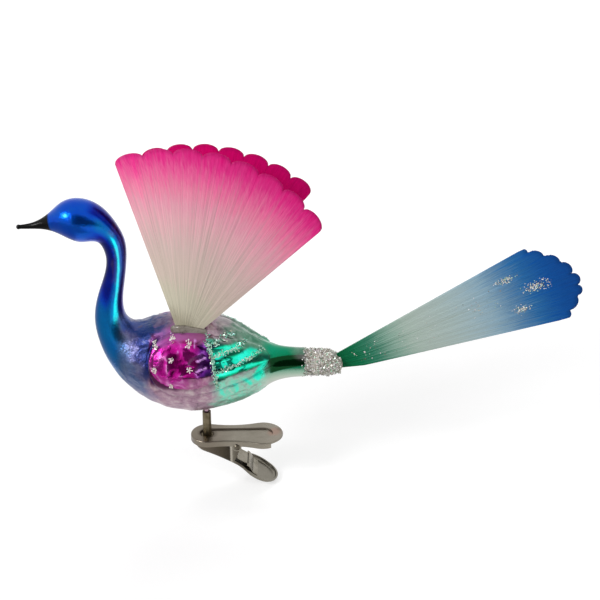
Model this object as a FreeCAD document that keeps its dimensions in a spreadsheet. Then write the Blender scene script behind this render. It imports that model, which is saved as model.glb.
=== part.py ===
"""Blown-glass bird ornament on a spring tree clip.

Millimetres. +X runs from the beak to the tail, +Z is up and the bird is symmetrical about y = 0.
The origin is in the jaw of the clip, on the underside of its top plate: the branch is gripped there.
The hollow glass bird stands on a metal stem that turns in the top plate; the lower lever pivots on a pin.
"""
import FreeCAD, Part
import math
import os
import re
import Sketcher
from FreeCAD import Placement, Rotation, Vector

doc = FreeCAD.newDocument("clip_on_bird")

# ---------------------------------------------------------------- driving dimensions
SIZES = [
    # alias, value, what it is
    ("sheet", 0.5, "thickness of the clip's stamped steel"),
    ("jaw_round", 5.5, "radius of the top plate's jaw end"),
    ("jaw_centre_x", 3.5, "centre of the jaw end's radius"),
    ("grip_round", 6.4, "radius of the top plate's finger end"),
    ("grip_centre_x", 20.9, "centre of the finger end's radius"),
    ("waist_round", 31.0, "radius of the plate's hollow sides"),
    ("skirt_depth", 1.5, "how far the plate's skirt hangs below its underside"),
    ("skirt_end_x", 23.6, "where the skirt stops short of the finger end"),
    ("channel_depth", 0.5, "depth of the pressed channel along the plate"),
    ("channel_start_round", 2.5, "half width of the channel at the stem"),
    ("channel_end_round", 3.1, "half width of the channel at the finger end"),
    ("channel_end_x", 21.0, "centre of the channel's far end"),
    ("dimple_radius", 2.1, "dimple that the stem turns in"),
    ("dimple_depth", 0.4, "depth of the dimple below the channel"),
    ("pin_x", 12.7, "pivot pin, along the clip"),
    ("pin_drop", 1.8, "pivot pin, below the plate's underside"),
    ("pin_radius", 0.6, "radius of the pivot pin"),
    ("pin_play", 0.06, "running clearance round the pin"),
    ("pin_end_play", 0.05, "clearance under the pin's heads"),
    ("pin_head_radius", 1.05, "radius of the pin's riveted heads"),
    ("pin_head_height", 0.35, "height of the pin's riveted heads"),
    ("ear_radius", 1.5, "radius of the ears round the pin"),
    ("lever_tip_x", -1.3, "tip of the lower jaw"),
    ("lever_half_width", 4.0, "half width of the lever's gutter"),
    ("lever_top_gap", 0.35, "gap between the gutter's edges and the plate"),
    ("gutter_end_x", 11.4, "end of the gutter"),
    ("gutter_end_drop", 8.95, "depth of the gutter's end below the plate"),
    ("scoop_end_x", 3.4, "where the jaw's scoop runs into the gutter"),
    ("scoop_end_drop", 4.85, "depth of the scoop there"),
    ("scoop_mid_x", 1.2, "middle of the scoop"),
    ("scoop_mid_drop", 3.8, "depth of the scoop there"),
    ("scoop_tip_drop", 1.3, "depth of the scoop at the tip"),
    ("pad_round", 6.2, "radius of the lever's thumb pad"),
    ("pad_centre_x", 19.4, "centre of the thumb pad"),
    ("pad_mid_offset", -2.4, "first bend of the thumb pad, from its centre"),
    ("pad_mid_drop", 12.5, "depth of the first bend"),
    ("pad_low_offset", 3.1, "second bend of the thumb pad, from its centre"),
    ("pad_low_drop", 15.6, "depth of the second bend"),
    ("pad_end_fall", 1.2, "fall from there to the thumb pad's end"),
    ("pad_rim", 1.5, "height of the thumb pad's rim"),
    ("neck_x", 13.2, "where the lever starts to widen into the pad"),
    ("flank_half_width", 5.4, "half width of the lever midway from there to the pad's centre"),
    ("lever_floor", 0.56, "upright thickness of the lever's sloping floor"),
    ("lever_bend", 1.3, "outer radius of the bends along the lever's foot"),
    ("spring_sheet", 0.3, "thickness of the spring strip"),
    ("spring_half_width", 3.2, "half width of the spring strip"),
    ("spring_play", 0.2, "gap between the pin and the spring's bend"),
    ("spring_reach_x", 21.5, "end of the spring's upper leg"),
    ("spring_lean", 8, "lean of the spring's lower leg, in degrees"),
    ("spring_knee_drop", 7.2, "depth of the knee above the lever's floor"),
    ("yoke_x", 16.4, "the spring's cross fold, along the clip"),
    ("yoke_top_drop", 9.6, "depth of the fold's top"),
    ("yoke_lean", 1.1, "how far the fold leans to the finger end"),
    ("yoke_shoulder", 0.8, "length of the wide part before the fold"),
    ("yoke_foot", 1.4, "length of the fold's foot, on the pad"),
    ("yoke_half_width", 4.3, "half width of the spring's cross fold"),
    ("spring_foot_gap", 0.1, "gap between the fold's toe and the pad"),
    ("stem_x", 3.2, "the stem's axis"),
    ("stem_foot_radius", 1.42, "outer radius of the stem at its foot"),
    ("stem_top_radius", 1.34, "outer radius of the stem at its top"),
    ("stem_top_z", 8.6, "top of the stem tube"),
    ("stem_wall", 0.3, "wall of the stem tube"),
    ("stem_play", 0.1, "clearance between the stem and its hole"),
    ("stem_end_play", 0.05, "end play of the stem in the plate"),
    ("bead_radius", 1.85, "bead that the stem rests on"),
    ("bead_height", 0.3, "height of the bead"),
    ("flare_radius", 1.95, "flared foot under the plate"),
    ("flare_height", 0.3, "height of the flared foot"),
    ("pike_radius", 0.75, "glass pike under the belly"),
    ("pike_end_z", 3.4, "lower end of the pike, inside the stem"),
    ("pike_root_height", 1.8, "height of the pike's flared root"),
    ("pike_root_radius", 2.25, "radius of that root in the belly"),
    ("cement_end_z", 2.9, "lower end of the cement inside the stem"),
    ("stem_cement_gap", 0.2, "depth of the cement below the stem's top"),
    ("glass_wall", 0.9, "wall of the blown glass"),
    ("beak_blob_radius", 0.75, "sealed blob at the beak's tip"),
    ("wing_relief", 0.45, "height of the wing moulded in each flank"),
    ("shoulder_relief", 1.0, "height of the moulded shoulder"),
    ("feather_relief", 1.15, "height of the topmost flight feather"),
    ("feather_step", 0.15, "step down from each flight feather to the next"),
    ("pocket_y", 6.0, "distance of each wing pocket from the mirror plane"),
    ("pocket_half_width", 1.2, "half width of a wing pocket"),
    ("pocket_half_length", 5.2, "half length of a wing pocket"),
    ("pocket_x", -0.9, "middle of the wing pockets"),
    ("pocket_floor_z", 37.2, "floor of the wing pockets"),
    ("pocket_reach", 14.0, "height of the slot from the floor to clear over the bird's back"),
    ("pocket_wall", 0.8, "glass round a wing pocket"),
    ("wing_thickness", 0.6, "thickness of a wing's spun glass"),
    ("wing_root_z", 38.0, "lower end of a wing, in the cement"),
    ("left_wing_hub_x", -3.0, "point that the left wing's fibres spread from, along the bird"),
    ("left_wing_hub_z", 35.7, "height of that point"),
    ("left_wing_first_angle", 106.4, "direction of the left wing's front edge"),
    ("left_wing_last_angle", 44.9, "direction of its back edge"),
    ("left_wing_first_length", 62.8, "length of its front edge from that point"),
    ("left_wing_last_length", 59.0, "length of its back edge from that point"),
    ("left_wing_bulge", 10.9, "bulge of its outer edge over its chord, at the notches"),
    ("left_wing_scallops", 8, "scallops on it"),
    ("left_wing_scallop_depth", 2.1, "depth of the notches between them"),
    ("right_wing_hub_x", -3.0, "point that the right wing's fibres spread from, along the bird"),
    ("right_wing_hub_z", 35.7, "height of that point"),
    ("right_wing_first_angle", 108.6, "direction of the right wing's front edge"),
    ("right_wing_last_angle", 49.6, "direction of its back edge"),
    ("right_wing_first_length", 57.0, "length of its front edge from that point"),
    ("right_wing_last_length", 59.7, "length of its back edge from that point"),
    ("right_wing_bulge", 9.5, "bulge of its outer edge over its chord, at the notches"),
    ("right_wing_scallops", 8, "scallops on it"),
    ("right_wing_scallop_depth", 2.1, "depth of the notches between them"),
    ("cement_z", 41.2, "top of the cement in the wing pockets"),
    ("tail_thickness", 0.6, "thickness of the tail's spun glass"),
    ("tail_root_x", 42.6, "root of the tail fan, in the plug"),
    ("tail_hub_x", 27.2, "point that the tail's fibres spread from, along the bird"),
    ("tail_hub_z", 18.6, "height of that point"),
    ("tail_first_angle", 32.95, "direction of the tail's upper edge"),
    ("tail_last_angle", 14.95, "direction of the tail's lower edge"),
    ("tail_first_length", 85.7, "length of the tail's upper edge from that point"),
    ("tail_last_length", 90.4, "length of the tail's lower edge from that point"),
    ("tail_bulge", 9.0, "bulge of the tail's outer edge over its chord, at the notches"),
    ("tail_scallops", 8, "scallops on the tail"),
    ("tail_scallop_depth", 1.4, "depth of the notches between them"),
    ("tail_pinch_x", 52.9, "where the tail's lower edge starts to gather towards the root"),
    ("tail_pinch_z", 24.3, "lower end of the root"),
    ("tube_end_x", 34.0, "open end of the glass tail tube"),
    ("tube_end_z", 26.6, "height of the tube's axis at its end"),
    ("tube_end_radius", 4.55, "outer radius of the tube's end"),
    ("plug_play", 0.05, "clearance between the plug and the tube"),
    ("plug_start_x", 28.5, "inner end of the tail plug"),
    ("collar_radius", 4.0, "outer radius of the glitter collar"),
    ("collar_wall", 0.7, "thickness of the glitter collar"),
    ("collar_end_x", 41.5, "end of the collar's straight part"),
    ("nose_end_x", 45.2, "end of the collar's nose"),
    ("nose_drop", 0.8, "how far the nose points down to the fan"),
    ("nose_radius", 2.5, "radius of the nose's end"),
]

# Stations of the glass from the beak's tip to the tail tube: (x, z, outer radius, heading of the axis in
# degrees from +Z towards +X).
STATIONS = [
    (-51.2, 73.0, 0.6, 88),
    (-47.2, 73.4, 0.95, 84),
    (-43.5, 74.2, 1.9, 80),
    (-40.6, 74.9, 3.4, 80),
    (-37.6, 75.5, 5.3, 84),
    (-33.4, 75.4, 6.5, 95),
    (-29.2, 74.2, 5.9, 112),
    (-25.2, 71.4, 4.1, 135),
    (-23.1, 67.4, 3.5, 160),
    (-22.6, 62.2, 3.05, 178),
    (-23.4, 56.5, 3.15, 189),
    (-24.7, 51.0, 3.65, 191),
    (-25.4, 46.9, 4.15, 184),
    (-25.2, 41.8, 5.0, 172),
    (-23.1, 37.0, 6.6, 152),
    (-18.0, 31.9, 10.4, 120),
    (-8.3, 28.0, 14.55, 98),
    (-0.9, 27.4, 15.6, 92),
    (6.6, 26.8, 14.4, 93),
    (14.0, 26.3, 11.7, 92),
    (19.0, 26.0, 9.2, 91),
    (24.0, 26.25, 6.25, 90),
    (29.0, 26.5, 4.9, 90),
]

# The folded wing moulded into each flank, seen from the side: outline points (x, z).
WING_OUTLINE = [(-13.3, 33.5), (-11.0, 38.3), (-5.0, 40.6), (4.0, 40.2), (12.0, 38.0), (18.5, 35.0),
                (23.4, 30.6), (16.6, 26.9), (5.0, 24.3), (-5.4, 23.4), (-11.2, 26.4)]
SHOULDER_OUTLINE = [(-12.4, 33.8), (-10.3, 37.6), (-4.0, 39.6), (3.0, 38.4), (6.0, 34.5), (6.2, 30.2),
                    (3.0, 27.3), (-5.0, 27.0), (-10.6, 29.2)]
# Its flight feathers, topmost first: (start x, start z, tip x, tip z, half width).
FEATHERS = [(1.0, 38.4, 12.8, 37.4, 1.9), (1.0, 35.4, 16.8, 35.0, 2.2), (1.0, 31.9, 21.2, 32.5, 2.3),
            (0.0, 28.2, 22.8, 30.2, 2.2)]

# ---------------------------------------------------------------- the sheet of sizes
sheet = doc.addObject("Spreadsheet::Sheet", "sizes")
ALIASES = set()


def add_size(alias, value, note):
    """Puts one size in the sheet, under its alias."""
    row = len(ALIASES) + 1
    sheet.set(f"A{row}", note)
    sheet.set(f"B{row}", str(value))
    sheet.setAlias(f"B{row}", alias)
    ALIASES.add(alias)


for alias, value, note in SIZES:
    add_size(alias, value, note)
for number, station in enumerate(STATIONS):
    for name, value in zip(("x", "z", "radius", "heading"), station):
        add_size(f"glass_{name}_{number:02d}", value, f"{name} of the glass at station {number}")
doc.recompute()


def size(expression):
    """The value of an expression written with the sheet's aliases."""
    return float(sheet.evalExpression(expression))


def bound(expression):
    """The same expression for setExpression, each alias led by the sheet's name."""
    return re.sub(r"[a-z]\w*", lambda word: f"sizes.{word[0]}" if word[0] in ALIASES else word[0], expression)


def bind(feature, **expressions):
    """Binds properties of a feature to the sheet; __ stands for the dot in a property's path."""
    for name, expression in expressions.items():
        feature.setExpression(name.replace("__", "."), bound(expression))
    return feature


# ---------------------------------------------------------------- sketches
SIDE_VIEW = Rotation(Vector(1, 0, 0), 90)
START, END, CENTRE = 1, 2, 3
ORIGIN = (-1, 1)
X_AXIS, Y_AXIS = -1, -2


def new_sketch(name, side=False, z="0", body=None, plane=None):
    """A sketch in plan at height z, or in the side view, or on a plane of a body."""
    if body:
        sketch = body.newObject("Sketcher::SketchObject", name)
        planes = [feature for feature in body.Origin.OriginFeatures if feature.Role == plane]
        sketch.AttachmentSupport = (planes[0], [""])
        sketch.MapMode = "FlatFace"
        return sketch
    sketch = doc.addObject("Sketcher::SketchObject", name)
    if side:
        sketch.Placement = Placement(Vector(), SIDE_VIEW)
    else:
        bind(sketch, Placement__Base__z=z)
    return sketch


def constrain(sketch, kind, *where, to=None):
    """Adds a constraint; one that holds a size is bound to the sheet."""
    if to is None:
        sketch.addConstraint(Sketcher.Constraint(kind, *where))
        return
    index = sketch.addConstraint(Sketcher.Constraint(kind, *where, size(to)))
    sketch.setExpression(f"Constraints[{index}]", bound(to))


def place_point(sketch, element, point, across, up):
    """Ties a point of a sketch to its two coordinates."""
    for kind, axis, to in (("DistanceX", Y_AXIS, across), ("DistanceY", X_AXIS, up)):
        if size(to) == 0:
            constrain(sketch, "PointOnObject", element, point, axis)
        else:
            constrain(sketch, kind, *ORIGIN, element, point, to=to)


def polygon(sketch, corners):
    """Draws a closed polygon through corners given as pairs of expressions."""
    points = [Vector(size(across), size(up), 0) for across, up in corners]
    for start, end in zip(points, points[1:] + points[:1]):
        sketch.addGeometry(Part.LineSegment(start, end))
    for number, (across, up) in enumerate(corners):
        constrain(sketch, "Coincident", number, END, (number + 1) % len(corners), START)
        place_point(sketch, number, START, across, up)
    return sketch


def add_arc(sketch, x, y, radius, start, end):
    """Draws an arc counter-clockwise between two angles in radians."""
    circle = Part.Circle(Vector(x, y, 0), Vector(0, 0, 1), radius)
    return sketch.addGeometry(Part.ArcOfCircle(circle, start, end))


def hollow_centre(apart, r1, r2, bow):
    """Centre of a hollow side that touches two rounds, from the first round's centre: along and out."""
    along = ((bow + r1) ** 2 - (bow + r2) ** 2 + apart ** 2) / (2 * apart)
    return along, math.sqrt((bow + r1) ** 2 - along ** 2)


def two_rounds(sketch, left, right, hollow=None):
    """Draws a round at each end, (x, radius), joined by straight sides or by hollow arcs of one radius."""
    x1, r1 = (size(to) for to in left)
    x2, r2 = (size(to) for to in right)
    apart = x2 - x1
    if hollow:
        bow = size(hollow)
        along, out = hollow_centre(apart, r1, r2, bow)
        turn1 = math.atan2(out, along)
        turn2 = math.atan2(out, along - apart)
    else:
        turn1 = turn2 = math.acos((r1 - r2) / apart)
    add_arc(sketch, x1, 0, r1, turn1, 2 * math.pi - turn1)
    add_arc(sketch, x2, 0, r2, -turn2, turn2)
    if hollow:
        add_arc(sketch, x1 + along, out, bow, math.pi + turn1, math.pi + turn2)
        add_arc(sketch, x1 + along, -out, bow, math.pi - turn2, math.pi - turn1)
        joins = ((0, START, 2, START), (2, END, 1, END), (0, END, 3, END), (3, START, 1, START))
        constrain(sketch, "Radius", 2, to=hollow)
        constrain(sketch, "Radius", 3, to=hollow)
    else:
        for side in (1, -1):
            near = Vector(x1 + r1 * math.cos(turn1), side * r1 * math.sin(turn1), 0)
            far = Vector(x2 + r2 * math.cos(turn2), side * r2 * math.sin(turn2), 0)
            sketch.addGeometry(Part.LineSegment(near, far))
        joins = ((0, START, 2, START), (2, END, 1, END), (0, END, 3, START), (3, END, 1, START))
    for join in joins:
        constrain(sketch, "Tangent", *join)
    for number, (x, radius) in enumerate((left, right)):
        place_point(sketch, number, CENTRE, x, "0")
        constrain(sketch, "Radius", number, to=radius)
    return sketch


def smooth_outline(sketch, points):
    """Draws a smooth closed curve through points."""
    curve = Part.BSplineCurve()
    curve.interpolate(Points=[Vector(x, z, 0) for x, z in points], PeriodicFlag=True)
    sketch.addGeometry(curve)
    return sketch


# ---------------------------------------------------------------- features
# Widths across the whole bird and across the clip.
ACROSS = "3 * glass_radius_17"
CLIP_ACROSS = "4 * pad_round"


def extrude(name, profile, length, direction=Vector(0, 0, 1), symmetric=False):
    """A prism of a closed profile."""
    prism = doc.addObject("Part::Extrusion", name)
    prism.Base = profile
    prism.DirMode = "Custom"
    prism.Dir = direction
    prism.Solid = True
    prism.Symmetric = symmetric
    return bind(prism, LengthFwd=length)


def through(name, profile):
    """A prism of a side profile, right across the object."""
    return extrude(name, profile, ACROSS, Vector(0, 1, 0), True)


def inset(name, profile, by):
    """An outline moved inwards by the thickness of its wall, or outwards if that is negative."""
    outline = doc.addObject("Part::Offset2D", name)
    outline.Source = profile
    outline.Value = -size(by)
    return bind(outline, Value=f"-1 * ({by})")


def cut(name, base, *tools):
    """One solid less others."""
    tool = tools[0] if len(tools) == 1 else fuse(f"{name}_tools", *tools)
    result = doc.addObject("Part::Cut", name)
    result.Base = base
    result.Tool = tool
    return result


def fuse(name, *solids):
    """Solids joined into one."""
    result = doc.addObject("Part::MultiFuse", name)
    result.Shapes = list(solids)
    result.Refine = True
    return result


def common(name, *solids):
    """What solids share."""
    result = doc.addObject("Part::MultiCommon", name)
    result.Shapes = list(solids)
    return result


def box(name, x, y, z, length, width, height):
    """A block from its low corner."""
    block = doc.addObject("Part::Box", name)
    return bind(block, Placement__Base__x=x, Placement__Base__y=y, Placement__Base__z=z,
                Length=length, Width=width, Height=height)


def cylinder(name, x, y, z, radius, height, tilt=None, spin=0):
    """A cylinder from the middle of its low end, tilted about one axis."""
    rod = doc.addObject("Part::Cylinder", name)
    if tilt:
        rod.Placement = Placement(Vector(), Rotation(tilt, spin))
    return bind(rod, Placement__Base__x=x, Placement__Base__y=y, Placement__Base__z=z,
                Radius=radius, Height=height)


def cross_rod(name, x, z, radius):
    """A cylinder right across the clip, along Y."""
    return cylinder(name, x, f"{CLIP_ACROSS} / 2", z, radius, CLIP_ACROSS, Vector(1, 0, 0), 90)


def ring(name, x, z, radius, heading):
    """A circle round the bird's axis, facing along that axis."""
    circle = doc.addObject("Part::Circle", name)
    circle.Placement = Placement(Vector(), Rotation(Vector(0, 1, 0), size(heading)))
    return bind(circle, Radius=radius, Placement__Base__x=x, Placement__Base__z=z,
                Placement__Rotation__Angle=heading)


def loft(name, rings, ruled=False):
    """A solid skinned over rings."""
    skin = doc.addObject("Part::Loft", name)
    skin.Sections = rings
    skin.Solid = True
    skin.Ruled = ruled
    return skin


def round_edges(name, base, radius, chosen):
    """Rounds the edges of a solid that a rule chooses."""
    doc.recompute()
    rounded = doc.addObject("Part::Fillet", name)
    rounded.Base = base
    picked = [number for number, edge in enumerate(base.Shape.Edges, 1) if chosen(edge)]
    rounded.Edges = [(number, size(radius), size(radius)) for number in picked]
    return rounded


def turned(name, plane, axis, corners):
    """A turned piece: a body whose half profile goes once round one axis of its sketch."""
    body = doc.addObject("PartDesign::Body", name)
    sketch = polygon(new_sketch(f"{name}_profile", body=body, plane=plane), corners)
    turning = body.newObject("PartDesign::Revolution", f"{name}_turning")
    turning.Profile = sketch
    turning.ReferenceAxis = (sketch, [axis])
    turning.Angle = 360
    return body


PIECES = {}


def piece(name, feature):
    """Names a finished piece: its label is the name of its file."""
    feature.Label = name
    PIECES[name] = feature
    return feature


def level(edge, z):
    """Whether an edge lies at one height."""
    return abs(edge.BoundBox.ZMin - z) < 1e-4 and abs(edge.BoundBox.ZMax - z) < 1e-4


# ---------------------------------------------------------------- clip: top plate
def top_plate():
    """A stamped plate with a turned-down skirt, a pressed channel, a dimple for the stem and two ears."""
    ear_depth = "pin_drop + ear_radius"
    outline = two_rounds(new_sketch("plate_outline", z=f"-1 * ({ear_depth})"),
                         ("jaw_centre_x", "jaw_round"), ("grip_centre_x", "grip_round"), "waist_round")
    inner = inset("plate_inner_outline", outline, "sheet")
    whole = extrude("plate_whole", outline, f"{ear_depth} + sheet")
    rounded = round_edges("plate_rounded", whole, "sheet * 0.7", lambda edge: level(edge, size("sheet")))
    shell = cut("plate_shell", rounded, extrude("plate_hollow", inner, ear_depth))
    length = "grip_centre_x + grip_round"
    kept = fuse("plate_kept",
                box("plate_top_zone", "-1 * jaw_round", f"-1 * {CLIP_ACROSS} / 2", "0",
                    f"{length} + jaw_round", CLIP_ACROSS, "sheet"),
                box("plate_skirt_zone", "-1 * jaw_round", f"-1 * {CLIP_ACROSS} / 2", "-1 * skirt_depth",
                    "skirt_end_x + jaw_round", CLIP_ACROSS, "skirt_depth"),
                cross_rod("plate_ear_zone", "pin_x", "-1 * pin_drop", "ear_radius"))
    stamped = common("plate_stamped", shell, kept)
    channel_out = two_rounds(new_sketch("channel_back", z="-1 * channel_depth"),
                             ("stem_x", "channel_start_round + sheet"),
                             ("channel_end_x", "channel_end_round + sheet"))
    channel_in = two_rounds(new_sketch("channel_floor", z="sheet - channel_depth"),
                            ("stem_x", "channel_start_round"), ("channel_end_x", "channel_end_round"))
    back = extrude("channel_press", channel_out, "channel_depth + sheet / 2")
    dimple = cylinder("dimple_press", "stem_x", "0", "-1 * channel_depth - dimple_depth",
                      "dimple_radius + sheet", "dimple_depth + sheet / 2")
    pressed = fuse("plate_pressed", stamped, back, dimple)
    return cut("plate_bored", pressed,
               extrude("channel_hollow", channel_in, "channel_depth + sheet"),
               cylinder("dimple_hollow", "stem_x", "0", "sheet - channel_depth - dimple_depth",
                        "dimple_radius", "dimple_depth + channel_depth + sheet"),
               cylinder("stem_hole", "stem_x", "0", "-3 * sheet - dimple_depth",
                        "stem_foot_radius + stem_play", "6 * sheet + dimple_depth"),
               cross_rod("plate_pin_hole", "pin_x", "-1 * pin_drop", "pin_radius + pin_play"))


def plate_half_width(x):
    """Half width of the top plate in its hollow waist."""
    bow = size("waist_round")
    apart = size("grip_centre_x - jaw_centre_x")
    along, out = hollow_centre(apart, size("jaw_round"), size("grip_round"), bow)
    return out - math.sqrt(bow ** 2 - (x - size("jaw_centre_x") - along) ** 2)


# ---------------------------------------------------------------- clip: lower lever
PAD_MID_X = "pad_centre_x + pad_mid_offset"
PAD_LOW_X = "pad_centre_x + pad_low_offset"
PAD_END_X = "pad_centre_x + pad_round"
PAD_END_DROP = "(pad_low_drop + pad_end_fall)"
LEVER_FLOOR = [(PAD_END_X, PAD_END_DROP), (PAD_LOW_X, "pad_low_drop"), (PAD_MID_X, "pad_mid_drop"),
               ("gutter_end_x", "gutter_end_drop"), ("scoop_end_x", "scoop_end_drop"),
               ("scoop_mid_x", "scoop_mid_drop"), ("lever_tip_x", "scoop_tip_drop")]


def floor_curve(raised):
    """The lever's floor seen from the side, from the thumb pad's end to the tip, as one smooth curve."""
    curve = Part.BSplineCurve()
    curve.interpolate([Vector(size(x), raised - size(drop), 0) for x, drop in LEVER_FLOOR])
    return curve


def floor_height(x, raised):
    """Height of the lever's floor at x."""
    upright = Part.Line(Vector(x, 0, 0), Vector(x, 1, 0))
    return floor_curve(raised).intersect(upright)[0].Y


def lever_side(sketch, raised, top):
    """Draws the lever from the side: the smooth floor below and straight runs above."""
    floor = floor_curve(raised)
    sketch.addGeometry(floor)
    corners = [Vector(size(x), size(z), 0) for x, z in top]
    run = [floor.EndPoint] + corners + [floor.StartPoint]
    for start, end in zip(run, run[1:]):
        sketch.addGeometry(Part.LineSegment(start, end))
    return sketch


def spoon(sketch, wall):
    """Draws the lever from above, inside a wall: a round jaw, straight gutter and a wider round pad."""
    half, pad = size("lever_half_width") - wall, size("pad_round") - wall
    jaw_x, neck_x, pad_x = (size(to) for to in ("lever_tip_x + lever_half_width", "neck_x", "pad_centre_x"))
    add_arc(sketch, jaw_x, 0, half, math.pi / 2, math.pi * 1.5)
    add_arc(sketch, pad_x, 0, pad, -math.pi / 2, math.pi / 2)
    for side in (1, -1):
        points = [Vector(jaw_x, side * half, 0), Vector((jaw_x + neck_x) / 2, side * half, 0),
                  Vector(neck_x, side * half, 0),
                  Vector((neck_x + pad_x) / 2, side * (size("flank_half_width") - wall), 0),
                  Vector(pad_x, side * pad, 0)]
        straight = [True, True, True, False, True]
        flank = Part.BSplineCurve()
        flank.interpolate(Points=points, Tangents=[Vector(1, 0, 0)] * len(points), TangentFlags=straight)
        sketch.addGeometry(flank)
    return sketch


def lever_foot(raised):
    """A rule that picks the edges between the lever's wall and its floor."""
    floor = floor_curve(raised)

    def chosen(edge):
        middle = edge.valueAt((edge.FirstParameter + edge.LastParameter) / 2)
        seen = Vector(middle.x, middle.z, 0)
        off_floor = (floor.value(floor.parameter(seen)) - seen).Length
        return off_floor < 0.03 and abs(middle.y) > size("lever_half_width") / 3

    return chosen


def lower_lever():
    """A pressed gutter, closed at its tip into a scoop, with ears for the pin and a dished thumb pad."""
    ear = "(pin_drop - lever_top_gap)"
    top = [("lever_tip_x", "-1 * lever_top_gap"), ("pin_x", "-1 * lever_top_gap"),
           (f"pin_x + {ear} * cos(30)", f"-1 * pin_drop - {ear} * sin(30)"),
           ("gutter_end_x + sheet", "pad_rim - gutter_end_drop"), (PAD_MID_X, "pad_rim - pad_mid_drop"),
           (PAD_LOW_X, "pad_rim - pad_low_drop"), (PAD_END_X, f"pad_rim - {PAD_END_DROP}")]
    side = lever_side(new_sketch("lever_side", side=True), 0, top)
    open_top = [("lever_tip_x", "sheet"), (PAD_END_X, "sheet")]
    inner_side = lever_side(new_sketch("lever_inner_side", side=True), size("lever_floor"), open_top)
    depth = f"2 * {PAD_END_DROP}"
    blank = fuse("lever_blank", through("lever_side_prism", side),
                 cross_rod("lever_ear", "pin_x", "-1 * pin_drop", ear))
    plan = spoon(new_sketch("lever_outline", z=f"-1 * {depth}"), 0)
    inner_plan = spoon(new_sketch("lever_inner_outline", z=f"-1 * {depth}"), size("sheet"))
    outer = common("lever_outer", blank, extrude("lever_plan_prism", plan, depth))
    inner = common("lever_inner", through("lever_inner_prism", inner_side),
                   extrude("lever_inner_plan_prism", inner_plan, depth))
    pressed = round_edges("lever_outer_rounded", outer, "lever_bend", lever_foot(0))
    hollow = round_edges("lever_inner_rounded", inner, "lever_bend - sheet", lever_foot(size("lever_floor")))
    return cut("lever_pressed", pressed, hollow,
               cross_rod("lever_pin_hole", "pin_x", "-1 * pin_drop", "pin_radius + pin_play"))


# ---------------------------------------------------------------- clip: spring and pin
def spring():
    """A strip bent round the pin: its upper leg presses on the plate, its yoke on the thumb pad."""
    bend = size("pin_radius + spring_play")
    pin = Vector(size("pin_x"), 0, -size("pin_drop"))
    leave = math.radians(size("180 + spring_lean"))

    def round_pin(radius, angle):
        return pin + Vector(radius * math.cos(angle), 0, radius * math.sin(angle))

    down = Vector(-math.sin(leave), 0, math.cos(leave))
    leg_length = size("spring_knee_drop - pin_drop") / -down.z
    reach = Vector(size("spring_reach_x"), 0, pin.z + bend)
    around = Part.Arc(round_pin(bend, math.pi / 2), round_pin(bend, (math.pi / 2 + leave) / 2),
                      round_pin(bend, leave))
    foot = round_pin(bend, leave)
    knee = foot + down * leg_length
    fold = Vector(size("yoke_x"), 0, -size("yoke_top_drop"))
    toe_x = size("yoke_x + yoke_lean")
    heel_x = toe_x + size("yoke_foot")
    lift = size("lever_floor + spring_sheet + spring_foot_gap")
    toe = Vector(toe_x, 0, floor_height(toe_x, lift))
    heel = Vector(heel_x, 0, floor_height(heel_x, lift))
    edges = [Part.LineSegment(reach, round_pin(bend, math.pi / 2)), around,
             Part.LineSegment(foot, knee), Part.LineSegment(knee, fold)]
    strip = solid_strip([edge.toShape() for edge in edges], size("spring_half_width"))
    shoulder = fold + (knee - fold).normalize() * size("yoke_shoulder")
    yoke_edges = [Part.LineSegment(shoulder, fold), Part.LineSegment(fold, toe), Part.LineSegment(toe, heel)]
    yoke = solid_strip([edge.toShape() for edge in yoke_edges], size("yoke_half_width"))
    feature = doc.addObject("Part::Feature", "spring_strip")
    feature.Shape = strip.fuse(yoke).removeSplitter()
    return feature


def solid_strip(edges, half_width):
    """A strip of spring sheet along a path in the side view, on the path's outer side."""
    path = Part.Wire(edges)
    face = path.makeOffset2D(-size("spring_sheet"), 0, True, True, False)
    prism = face.extrude(Vector(0, 2 * half_width, 0))
    prism.translate(Vector(0, -half_width, 0))
    return prism


def pivot_pin():
    """A rivet through the plate's ears and the lever's, with a low head at each end."""
    widest = max(plate_half_width(size(f"pin_x {side} pin_head_radius")) for side in "+-")
    reach = f"({widest:.4f} + pin_end_play)"
    head = f"({reach} + pin_head_height)"
    body = turned("pivot_rivet", "YZ_Plane", "H_Axis", [
        (f"-1 * {head}", "0"), (f"-1 * {head}", "pin_head_radius * 0.6"),
        (f"-1 * {reach}", "pin_head_radius"),
        (f"-1 * {reach}", "pin_radius"), (reach, "pin_radius"), (reach, "pin_head_radius"),
        (head, "pin_head_radius * 0.6"), (head, "0")])
    return bind(body, Placement__Base__x="pin_x", Placement__Base__z="-1 * pin_drop")


# ---------------------------------------------------------------- stem
BEAD_LOW_Z = "(sheet - channel_depth - dimple_depth + stem_end_play)"
BEAD_HIGH_Z = f"({BEAD_LOW_Z} + bead_height)"
FLARE_HIGH_Z = "(-1 * channel_depth - dimple_depth - stem_end_play)"
FLARE_LOW_Z = f"({FLARE_HIGH_Z} - flare_height)"


def stem_bore(z):
    """Inner radius of the tapered stem at height z."""
    return (f"(stem_top_radius - stem_wall + (stem_foot_radius - stem_top_radius)"
            f" * (stem_top_z - {z}) / (stem_top_z - {BEAD_HIGH_Z}))")


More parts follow.
